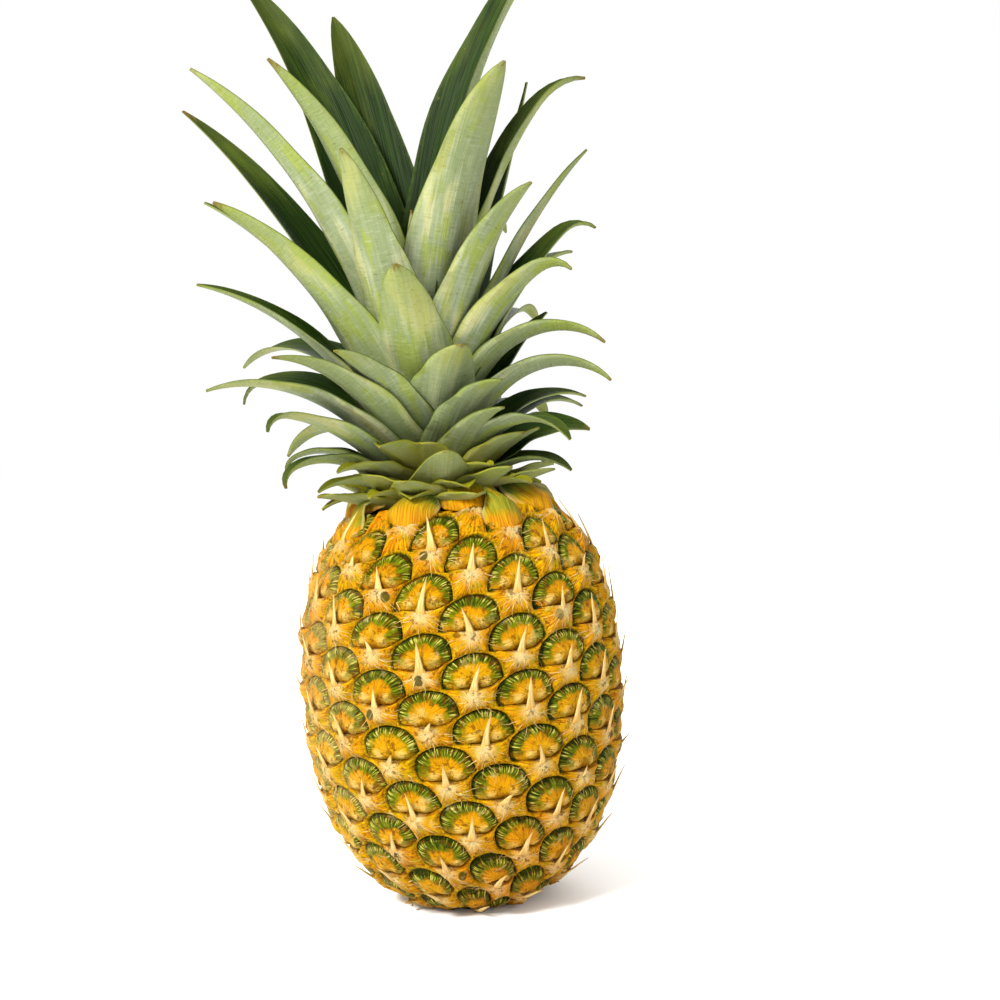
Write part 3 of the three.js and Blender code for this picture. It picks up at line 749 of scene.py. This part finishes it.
def add_blade(builder, midrib, across, inward, half, fold, thickness, numbers):
    """Channelled blade. Numbers are its length, a number of its own and the count of its columns.

    blade_place is the part of the length, the distance across and the number. blade_kind is 1 on the
    inner face, the length in tenths of a metre, and the part of the way from midrib to margin.
    """
    length, number, column_count = numbers
    rows = len(midrib)
    part = np.linspace(0, 1, rows)
    back, edge = thickness
    columns = np.linspace(-1, 1, column_count)
    phases = random.uniform(*RIPPLE_PHASES, 2)
    waves = random.uniform(*RIPPLE_WAVES)
    points, values = [], []
    for i in range(rows):
        phase = waves * 2 * np.pi * part[i] + np.where(columns > 0, phases[0], phases[1])
        ripple = MARGIN_RIPPLE * half[i] * np.sin(phase) * np.abs(columns) ** 3 * np.sin(np.pi * part[i])
        rise = fold[i] * half[i] * np.abs(columns) ** 1.5 + ripple
        inner = midrib[i] + np.outer(columns * half[i], across[i]) + np.outer(rise, inward[i])
        thick = edge[i] + (back[i] - edge[i]) * (1 - columns ** 2)
        points += [inner, (inner - np.outer(thick, inward[i]))[::-1]]
        for face, order in ((1.0, columns), (0.0, columns[::-1])):
            values += [(part[i], c * half[i], number, face, length / 100, abs(c)) for c in order]
    values = np.array(values)
    faces = [face[::-1] for face in tube_faces(rows, 2 * column_count)]
    builder.add(np.concatenate(points), faces, blade_place=values[:, :3], blade_kind=values[:, 3:])


def add_leaf(builder, leaf, number):
    part = np.linspace(0, 1, LEAF_ROWS)
    _, across, inward = leaf_frame(leaf, part)
    reach = ROOT_REACH * read(STEM_RADII, leaf["rise"])
    angle = math.radians(leaf["bearing"])
    root = stem_point(leaf["rise"]) + reach * np.array([math.sin(angle), -math.cos(angle), 0])
    middles = leaf_frame(leaf, (part[1:] + part[:-1]) / 2)[0]
    steps = np.cumsum(middles * leaf["length"] / (LEAF_ROWS - 1), axis=0)
    midrib = root + np.concatenate([np.zeros((1, 3)), steps])
    half = np.maximum(blade_shape(part, leaf["blunt"]) * leaf["width"] / 2, TIP_HALF_WIDTH)
    clasp = np.clip(1 - part / CLASP_LENGTH, 0, 1) ** 2
    fold = leaf["fold"] + (CLASP_FOLD - leaf["fold"]) * clasp
    root_back = read(LEAF_BACK_THICKNESS, leaf["length"])
    back = root_back + (LEAF_TIP_THICKNESS - root_back) * np.sqrt(part)
    edge = LEAF_EDGE_THICKNESS + (LEAF_EDGE_TIP - LEAF_EDGE_THICKNESS) * part
    numbers = (leaf["length"], number, LEAF_COLUMNS)
    add_blade(builder, midrib, across, inward, half, fold, (back, edge), numbers)


def collar_bracts():
    """Long bracts of the topmost eyes, which lead over to the leaves."""
    builder = Builder()
    part = np.linspace(0, 1, COLLAR_ROWS)
    swell = COLLAR_ROOT_SHAPE + (1 - COLLAR_ROOT_SHAPE) * np.sin(np.pi * np.minimum(part / 0.8, 1))
    shape = swell * (1 - part ** 2) ** 0.8
    fold = np.full(COLLAR_ROWS, COLLAR_FOLD)
    thickness = (1.4 - 0.8 * part, 0.8 - 0.3 * part)
    for eye in COLLAR_EYES:
        high = (eye - COLLAR_EYE) / (LAST_EYE - COLLAR_EYE)
        length = read(COLLAR_LENGTHS, high) + 2 * scatter(eye, 12)
        tilt = np.radians(read(COLLAR_TILTS, high) + 8 * scatter(eye, 17)) * (0.7 + 0.5 * part)
        step = length / (COLLAR_ROWS - 1)
        up = SPINE_ROOT - COLLAR_ROOT_DROP + np.cumsum(np.cos(tilt)) * step
        lift = np.cumsum(np.sin(tilt)) * step - COLLAR_SINK
        across = 0.6 * scatter(eye, 3) + COLLAR_SWAY * scatter(eye, 18) * part ** 2
        midrib = along_skin(eye, across, up, lift)
        along = np.gradient(midrib, axis=0)
        along /= np.linalg.norm(along, axis=1)[:, None]
        angle = float(SKIN.bearing(eye))
        side = np.tile([math.cos(angle), math.sin(angle), 0.0], (COLLAR_ROWS, 1))
        inward = np.cross(along, side)
        width = read(COLLAR_WIDTHS, high) + scatter(eye, 19)
        half = np.maximum(shape * width / 2, COLLAR_TIP_HALF_WIDTH)
        numbers = (length, eye_number(eye), COLLAR_COLUMNS)
        add_blade(builder, midrib, side, inward, half, fold, thickness, numbers)
    builder.build("collar_bracts", collar_material(), sharp=60)


def crown():
    builder = Builder()
    leaves = [listed_leaf(values) for values in LEAVES]
    leaves += back_leaves() + heart_leaves() + young_leaves()
    for i, leaf in enumerate(leaves):
        add_leaf(builder, leaf, (i * NUMBER_STEP) % 1)
    piece = builder.build("crown_leaves", leaf_material(), sharp=60)
    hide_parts("crown")


def turned(builder, profile, sides, kind, foot=(0.0, 0.0, 0.0), lean=0.0):
    """A turned solid on its foot, leaning to the right by an angle in radians."""
    angles = np.linspace(0, 2 * np.pi, sides, endpoint=False)
    rings = [(r * np.cos(angles), r * np.sin(angles), np.full(sides, float(z))) for r, z in profile]
    x, y, z = np.concatenate(rings, axis=1)
    right = x * math.cos(lean) + z * math.sin(lean)
    up = z * math.cos(lean) - x * math.sin(lean)
    points = np.stack([right, y, up], -1) + np.array(foot)
    place, blade = (np.tile(value, (len(points), 1)) for value in kind)
    builder.add(points, tube_faces(len(profile), sides), blade_place=place, blade_kind=blade)


def crown_stem():
    builder = Builder()
    profile = [(radius * STEM_INSET, height) for radius, height in CORE_PROFILE]
    # These values give the stem the dark painted shade of the leaf bases.
    kind = ((0.05, 0, 0.5), (0, 1, 0.3))
    turned(builder, profile, STEM_SIDES, kind, STEM_FOOT, math.radians(STEM_LEAN))
    builder.build("crown_stem", bpy.data.materials["leaf_blade"])


# Cut stalk

def stalk():
    low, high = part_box("cut_stalk")
    radius = (high[0] - low[0]) / 2 / MM
    top = high[2] / MM
    profile = ((radius - STALK_CHAMFER, 0), (radius, STALK_CHAMFER), (radius, top))
    builder = Builder()
    turned(builder, profile, STALK_SIDES, ((0, 0, 0), (0, 0, 0)))
    piece = builder.build("cut_stalk_face", stalk_material(), sharp=40)
    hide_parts("cut_stalk")


# Materials

class Nodes:
    """Short ways to lay out a material's nodes."""

    def __init__(self, name):
        self.material = bpy.data.materials.new(name)
        self.material.use_nodes = True
        self.tree = self.material.node_tree
        self.shader = self.tree.nodes["Principled BSDF"]

    def add(self, kind, **settings):
        node = self.tree.nodes.new(kind)
        for key, value in settings.items():
            setattr(node, key, value)
        return node

    def link(self, value, socket):
        if isinstance(value, bpy.types.NodeSocket):
            self.tree.links.new(value, socket)
        else:
            socket.default_value = value

    def fill(self, node, **values):
        """Links or sets a node's inputs by name, with _ for a space."""
        for name, value in values.items():
            self.link(value, node.inputs[name.replace("_", " ")])

    def math(self, operation, first, second=0.0):
        node = self.add("ShaderNodeMath", operation=operation)
        self.link(first, node.inputs[0])
        self.link(second, node.inputs[1])
        return node.outputs[0]

    def plus(self, first, second):
        return self.math("ADD", first, second)

    def minus(self, first, second):
        return self.math("SUBTRACT", first, second)

    def times(self, first, second):
        return self.math("MULTIPLY", first, second)

    def distance(self, x, y):
        return self.math("SQRT", self.plus(self.math("POWER", x, 2.0), self.math("POWER", y, 2.0)))

    def sway(self, noise, size):
        """A noise as a shift to either side of 0."""
        return self.times(self.minus(noise, 0.5), size)

    def split(self, vector):
        node = self.add("ShaderNodeSeparateXYZ")
        self.link(vector, node.inputs[0])
        return node.outputs

    def attribute(self, name):
        return self.split(self.add("ShaderNodeAttribute", attribute_name=name).outputs["Vector"])

    def vector(self, x, y, z):
        node = self.add("ShaderNodeCombineXYZ")
        self.fill(node, X=x, Y=y, Z=z)
        return node.outputs[0]

    def noise(self, vector, scale=1.0, detail=2.0, roughness=0.5):
        node = self.add("ShaderNodeTexNoise")
        self.fill(node, Vector=vector, Scale=scale, Detail=detail, Roughness=roughness)
        return node.outputs["Fac"]

    def fan_noise(self, angle, fineness, seed, detail, roughness):
        """Noise that changes with the angle, so that it runs out in rays."""
        x = self.times(self.math("COSINE", angle), fineness)
        y = self.times(self.math("SINE", angle), fineness)
        return self.noise(self.vector(x, y, seed), 1.0, detail, roughness)

    def streaks(self, across, along, seed, scales, detail, roughness=0.5):
        """Noise on a blade, with scales of its own across and along."""
        x = self.times(across, scales[0])
        y = self.times(along, scales[1])
        return self.noise(self.vector(x, y, seed), 1.0, detail, roughness)

    def band(self, value, low, high, smooth=True):
        """0 below low and 1 above high, or the other way where low is above high."""
        node = self.add("ShaderNodeMapRange", interpolation_type="SMOOTHSTEP" if smooth else "LINEAR")
        self.fill(node, Value=value, From_Min=low, From_Max=high)
        return node.outputs["Result"]

    def mix(self, part, first, second, blend="MIX"):
        node = self.add("ShaderNodeMix", data_type="RGBA", blend_type=blend)
        self.link(part, node.inputs["Factor"])
        self.link(first, node.inputs[6])
        self.link(second, node.inputs[7])
        return node.outputs[2]

    def tones(self, value, low, high, first, second):
        """One hex colour where the value is low and another where it is high."""
        return self.mix(self.band(value, low, high), srgb(first), srgb(second))

    def tint(self, colour, text, value, low, high, strength):
        """Lays a hex colour over another where the value is high."""
        return self.mix(self.times(self.band(value, low, high), strength), colour, srgb(text))

    def richer(self, colour, saturation, value=1.0):
        node = self.add("ShaderNodeHueSaturation")
        self.fill(node, Saturation=saturation, Value=value, Color=colour)
        return node.outputs["Color"]

    def bump(self, height, strength, distance):
        node = self.add("ShaderNodeBump")
        self.fill(node, Strength=strength, Distance=distance, Height=height)
        self.fill(self.shader, Normal=node.outputs["Normal"])

    def finish(self, colour, roughness, specular):
        self.fill(self.shader, Base_Color=colour, Roughness=roughness, Specular_IOR_Level=specular)
        return self.material


# Rind material

def rind_material():
    n = Nodes("pineapple_rind")
    across, up, number = n.attribute("eye_place")
    zone, bract, _ = n.attribute("eye_zone")
    seed = n.times(number, 60.0)
    place = n.vector(across, up, seed)
    wobble = n.noise(place, 0.35, 3)
    mottle = n.noise(place, 0.9, 4, 0.6)
    fine = n.noise(place, 3.5, 3, 0.6)
    rays = n.fan_noise(n.math("ARCTAN2", up, across), 15.0, n.plus(seed, n.times(zone, 1.2)), 3, 0.6)
    root_up = n.minus(up, SPINE_ROOT - LENS_ABOVE_MIDDLE)
    fan = n.math("ARCTAN2", across, root_up)
    reach = n.distance(across, root_up)
    strands = n.fan_noise(fan, 16.0, n.plus(seed, n.times(reach, 0.12)), 4, 0.65)

    lens = lens_colour(n, across, up, number, zone, (wobble, mottle, rays))
    gold = bract_colour(n, number, zone, reach, (wobble, mottle, strands))
    groove = groove_colour(n, zone, (wobble, fine, rays))
    outside = n.mix(n.band(bract, 0.0, 0.18), groove, gold)
    colour = n.mix(n.band(zone, 0.9995, 1.0005, smooth=False), lens, outside)
    # Painted shade: a dark spot stands in for a small hole in the bract.
    colour = n.mix(n.times(painted_hole_spot(n, across, up, number), 0.9), colour, srgb("4A4A18"))

    on_fruit = n.add("ShaderNodeTexCoord").outputs["Object"]
    crease = n.noise(on_fruit, 420.0, 3, 0.7)
    colour = fruit_tints(n, colour, on_fruit, wobble)
    # Brown in the hollows of the fine creases: partly the rind's brown fibres and partly painted shade.
    colour = n.tint(colour, "6E3C0C", crease, 0.46, 0.36, 0.7)
    relief = n.plus(n.times(strands, 0.7), n.times(rays, 0.6))
    relief = n.plus(relief, n.plus(n.times(fine, 0.4), n.times(mottle, 0.5)))
    n.bump(n.plus(relief, n.times(crease, 0.6)), 1.0, 0.0018)
    return n.finish(n.richer(colour, 1.08, 1.08), n.plus(0.46, n.times(fine, 0.3)), 0.05)


def lens_colour(n, across, up, number, zone, noises):
    """Orange middle with two cream lobes, in a streaked green ring with pale beads, and a dark line of
    painted shade along the rim.
    """
    wobble, mottle, rays = noises
    soft = n.plus(n.plus(zone, n.sway(wobble, 0.6)), n.sway(rays, 0.6))
    warm = n.mix(number, srgb("DDA41E"), srgb("DC8418"))
    lens = n.mix(n.band(soft, 0.1, 0.62), srgb("F5BE4E"), warm)
    lobe_x = n.math("DIVIDE", n.minus(n.math("ABSOLUTE", across), LOBE_SPREAD), LOBE_WIDTH)
    lobe_y = n.math("DIVIDE", n.plus(up, LOBE_DROP), LOBE_HEIGHT)
    lobe = n.plus(n.distance(lobe_x, lobe_y), n.times(mottle, 1.4))
    lens = n.tint(lens, "FADA86", lobe, 1.8, 0.9, 0.75)
    lens = n.tint(lens, "A8560E", rays, 0.5, 0.62, 0.5)
    green = n.tones(rays, 0.4, 0.6, "2C3A08", "7F8A1C")
    low_side = n.band(up, -4.2, 0.6)
    start = n.minus(0.6, n.times(number, 0.2))
    lens = n.mix(n.times(n.band(soft, start, n.plus(start, 0.2)), low_side), lens, green)
    beads = n.times(n.band(rays, 0.55, 0.62), n.times(n.band(zone, 0.72, 0.84), low_side))
    lens = n.mix(n.times(beads, 0.8), lens, srgb("EBDD80"))
    # Painted shade: a nearly black line along the rim of the lens, broken by noise.
    edge = n.times(n.band(zone, 0.93, 0.99), n.band(n.plus(wobble, rays), 1.2, 0.95))
    return n.mix(edge, lens, srgb("1C2006"))


def bract_colour(n, number, zone, reach, noises):
    """Golden fan of fibres, whitish at the root of the spine and darker at the lower edge."""
    wobble, mottle, strands = noises
    warm = n.mix(number, srgb("EFBE14"), srgb("EFA416"))
    gold = n.mix(n.band(strands, 0.38, 0.6), srgb("C4740C"), warm)
    gold = n.tint(gold, "A89E1C", wobble, 0.5, 0.66, 0.6)
    gold = n.tint(gold, "FFE08A", strands, 0.58, 0.7, 0.5)
    pale = n.band(n.plus(reach, n.times(strands, 14.0)), 11.8, 7.4)
    gold = n.mix(n.times(pale, 0.8), gold, srgb("FFEAB0", 0.75))
    gold = n.tint(gold, "8A5410", zone, 1.06, 1.0, 0.6)
    edge = n.tones(strands, 0.42, 0.58, "8A5610", "E0A42C")
    return n.mix(n.band(n.plus(zone, n.times(mottle, 0.2)), 1.9, 2.15), gold, edge)


def groove_colour(n, zone, noises):
    """Dark green groove above the lens, golden towards the border of the eye. The dark green is partly the
    rind's own colour and partly painted shade.
    """
    wobble, fine, rays = noises
    part = n.plus(n.minus(zone, 1.0), n.sway(wobble, 0.5))
    # Partly painted shade: the groove's green is taken nearly black, as if in shadow.
    groove = n.tones(fine, 0.4, 0.65, "1E2606", "46551A")
    groove = n.tint(groove, "8E8A2A", rays, 0.54, 0.62, 0.8)
    return n.mix(n.band(part, 0.3, 0.8), groove, n.tones(rays, 0.42, 0.6, "A88A20", "E6AE30"))


def painted_hole_spot(n, across, up, number):
    """Where a dark spot of painted shade, standing in for a small hole, lies in the bract of about one eye
    in five.
    """
    x = n.minus(across, n.times(n.minus(number, 0.86), 40.0))
    y = n.times(n.plus(up, 6.8), 0.75)
    return n.times(n.band(n.distance(x, y), 1.7, 1.2), n.band(number, 0.78, 0.8))


def fruit_tints(n, colour, place, wobble):
    """Tints that run on from eye to eye: flushes and pale and brown specks, and painted light that makes the
    left side paler.
    """
    flush = n.noise(place, 14.0, 2)
    colour = n.mix(n.times(n.band(flush, 0.5, 0.66), 0.3), colour, srgb("F5A858", 1.0), "MULTIPLY")
    bloom = n.noise(place, 160.0, 4, 0.65)
    colour = n.tint(colour, "FFE7A0", bloom, 0.56, 0.72, 0.4)
    colour = n.tint(colour, "8A4E10", bloom, 0.42, 0.3, 0.55)
    # Painted light: the left side, which faces the key light, is tinted paler.
    painted_light_side = n.plus(n.split(place)["X"], n.sway(wobble, 0.05))
    return n.tint(colour, "FFDC96", painted_light_side, -0.026, -0.056, 0.26)


def spine_material():
    n = Nodes("spine")
    part, width, number = n.attribute("spine_place")
    place = n.vector(n.times(part, 1.4), n.times(width, 2.2), n.times(number, 40.0))
    grain = n.noise(place, 1.5, 4, 0.65)
    colour = n.tones(part, 0.0, 0.4, "D0A048", "DEC07C")
    colour = n.tint(colour, "B07C2C", grain, 0.45, 0.6, 0.65)
    colour = n.tint(colour, "B07A2E", part, 0.75, 1.0, 0.7)
    n.bump(grain, 0.5, 0.0005)
    return n.finish(colour, 0.6, 0.1)


# Leaf and collar materials

def leaf_material():
    n = Nodes("leaf_blade")
    part, across, number = n.attribute("blade_place")
    face, length, edge = n.attribute("blade_kind")
    seed = n.times(number, 90.0)
    run = n.times(part, n.times(length, 3.0))
    lines = n.streaks(across, run, seed, (1.1, 1.0), 3, 0.6)
    broad = n.streaks(across, run, seed, (0.12, 1.0), 3)
    specks = n.streaks(across, run, seed, (0.8, 16.0), 4, 0.65)
    stripes = n.streaks(across, run, seed, (3.2, 0.4), 2)
    stains = n.streaks(across, run, n.plus(seed, 7.0), (0.22, 1.6), 4, 0.6)
    wrinkles = n.streaks(across, run, seed, (0.3, 48.0), 3, 0.6)
    cuts = n.streaks(across, run, seed, (0.25, 30.0), 2)
    outer = outer_colour(n, number, (lines, broad, specks, stains, wrinkles, cuts))
    inner = n.tones(stripes, 0.38, 0.66, "0C1C02", "22390A")
    inner = n.tint(inner, "38540F", lines, 0.5, 0.7, 0.35)
    inner = n.tint(inner, "425E16", broad, 0.54, 0.74, 0.4)
    colour = n.mix(face, outer, inner)
    colour = leaf_ends(n, colour, part, number, (face, length, edge), (broad, specks))
    grain = n.times(wrinkles, n.minus(0.5, n.times(face, 0.5)))
    grain = n.plus(grain, n.times(stripes, face))
    n.bump(n.plus(grain, lines), 0.5, 0.0006)
    return n.finish(n.richer(colour, 1.03), n.minus(0.6, n.times(face, 0.1)), 0.06)


def outer_colour(n, number, noises):
    """Grey-green outer face with olive and cream stains, fine wrinkles and short brown cuts."""
    lines, broad, specks, stains, wrinkles, cuts = noises
    colour = n.tones(broad, 0.4, 0.62, "8A9570", "ACB492")
    colour = n.tint(colour, "74844E", lines, 0.35, 0.7, 0.5)
    colour = n.tint(colour, "8E9C3A", stains, 0.5, 0.6, 0.65)
    colour = n.tint(colour, "CBC488", broad, 0.52, 0.66, 0.55)
    colour = n.tint(colour, "7F8F44", number, 0.5, 1.0, 0.3)
    colour = n.tint(colour, "D2D6BE", wrinkles, 0.54, 0.7, 0.16)
    colour = n.tint(colour, "626E38", wrinkles, 0.44, 0.32, 0.3)
    cut = n.times(n.band(cuts, 0.68, 0.72), n.band(specks, 0.5, 0.56))
    return n.mix(n.times(cut, 0.7), colour, srgb("6E5A2C"))


def leaf_ends(n, colour, part, number, kind, noises):
    """Yellower margins and upper parts, dry tips and scars, and a base in painted shade: dark on the longer
    leaves, yellow-olive on the short young ones.
    """
    face, length, edge = kind
    broad, specks = noises
    margin = n.times(n.band(n.plus(edge, n.times(specks, 0.3)), 1.04, 1.2), 0.5)
    colour = n.mix(margin, colour, n.mix(face, srgb("7E8A34"), srgb("4C5E1C")))
    ripe = n.band(n.plus(part, n.sway(broad, 0.9)), 0.55, 1.0)
    colour = n.mix(n.times(ripe, n.minus(0.55, n.times(face, 0.35))), colour, srgb("7E8838"))
    dry = n.plus(n.plus(part, n.sway(specks, 0.12)), n.times(number, 0.05))
    colour = n.tint(colour, "6B5A28", dry, 0.99, 1.04, 0.85)
    scars = n.times(n.band(specks, 0.66, 0.74), n.band(broad, 0.5, 0.6))
    colour = n.mix(n.times(scars, 0.8), colour, srgb("8A6A34"))
    # Painted shade: each blade is darkened towards its root, further up on the inner face; short young
    # leaves take a yellow-olive base instead.
    base = n.band(n.times(part, length), n.plus(0.4, n.times(face, 0.4)), 0.03)
    base_shade_and_young = n.tones(length, 0.5, 0.3, "1A2C08", "A09A26")
    return n.mix(n.times(base, 0.85), colour, base_shade_and_young)


def collar_material():
    n = Nodes("collar_bract")
    part, across, number = n.attribute("blade_place")
    _, length, edge = n.attribute("blade_kind")
    seed = n.times(number, 70.0)
    lines = n.streaks(across, part, seed, (2.4, 2.5), 4, 0.65)
    patches = n.streaks(across, part, seed, (0.4, 3.0), 3)
    ripe = n.minus(part, n.sway(patches, 0.7))
    ripe = n.plus(ripe, n.times(n.minus(length, 0.21), 4.5))
    gold = n.tones(lines, 0.4, 0.62, "B87812", "DCA02A")
    lime = n.tones(lines, 0.4, 0.62, "7C7C1C", "A39A3C")
    green = n.tones(lines, 0.4, 0.62, "3F5814", "687E38")
    colour = n.mix(n.band(ripe, 0.05, 0.4), gold, lime)
    colour = n.mix(n.band(ripe, 0.4, 0.85), colour, green)
    colour = n.tint(colour, "A8691C", patches, 0.56, 0.68, 0.55)
    colour = n.tint(colour, "DCC98A", edge, 0.84, 1.0, 0.5)
    colour = n.tint(colour, "8A5E2C", n.plus(part, n.times(patches, 0.2)), 0.9, 1.08, 0.8)
    root = n.band(n.plus(part, n.times(lines, 0.4)), 0.66, 0.3)
    root_gold = n.tones(lines, 0.4, 0.6, "B8700E", "DE9E1E")
    colour = n.mix(n.times(root, 0.85), colour, root_gold)
    n.bump(lines, 0.8, 0.0012)
    return n.finish(n.richer(colour, 1.06), 0.55, 0.08)


def stalk_material():
    n = Nodes("cut_stalk")
    place = n.add("ShaderNodeTexCoord").outputs["Object"]
    fibre = n.noise(place, 900.0, 3, 0.6)
    n.bump(fibre, 0.5, 0.0006)
    return n.finish(n.tones(fibre, 0.4, 0.62, "A98550", "DCC492"), 0.8, 0.2)


# Stage

def add_stage():
    size = FLOOR_HALF_SIZE
    corners = [(-size, -size, 0), (size, -size, 0), (size, size, 0), (-size, size, 0)]
    mesh = bpy.data.meshes.new("floor")
    mesh.from_pydata(corners, [], [[0, 1, 2, 3]])
    mesh.materials.append(Nodes("floor").finish(srgb("FFFFFF", 1.0), 1.0, 0.0))
    floor = bpy.data.objects.new("floor", mesh)
    bpy.context.scene.collection.objects.link(floor)


def add_light(name, place, size, power, colour):
    data = bpy.data.lights.new(name, "AREA")
    data.shape = "SQUARE"
    data.size = size
    data.energy = power
    data.color = colour
    light = bpy.data.objects.new(name, data)
    light.location = place
    light.rotation_euler = (Vector(LIGHT_TARGET) - Vector(place)).to_track_quat("-Z", "Y").to_euler()
    bpy.context.scene.collection.objects.link(light)


def add_lights():
    world = bpy.data.worlds.new("studio")
    world.use_nodes = True
    background = world.node_tree.nodes["Background"]
    background.inputs["Color"].default_value = (1.0, 1.0, 1.0, 1.0)
    background.inputs["Strength"].default_value = 1.0
    bpy.context.scene.world = world
    for light in LIGHTS:
        add_light(*light)


def add_camera():
    right, up = Vector(CAMERA_RIGHT).normalized(), Vector(CAMERA_UP).normalized()
    back = right.cross(up)
    turn = Matrix((right, up, back)).transposed().to_4x4()
    data = bpy.data.cameras.new("camera")
    data.lens = CAMERA_LENS
    data.sensor_width = CAMERA_SENSOR
    data.clip_start = CAMERA_NEAREST * MM
    camera = bpy.data.objects.new("camera", data)
    camera.matrix_world = Matrix.Translation(Vector(CAMERA_PLACE) * MM) @ turn
    bpy.context.scene.collection.objects.link(camera)
    bpy.context.scene.camera = camera


add_camera()
add_stage()
add_lights()
rind_piece = rind()
spines()
fibres(rind_piece)
collar_bracts()
crown()
crown_stem()
stalk()
bpy.context.scene.view_settings.view_transform = "Standard"

bpy.context.view_layer.update()
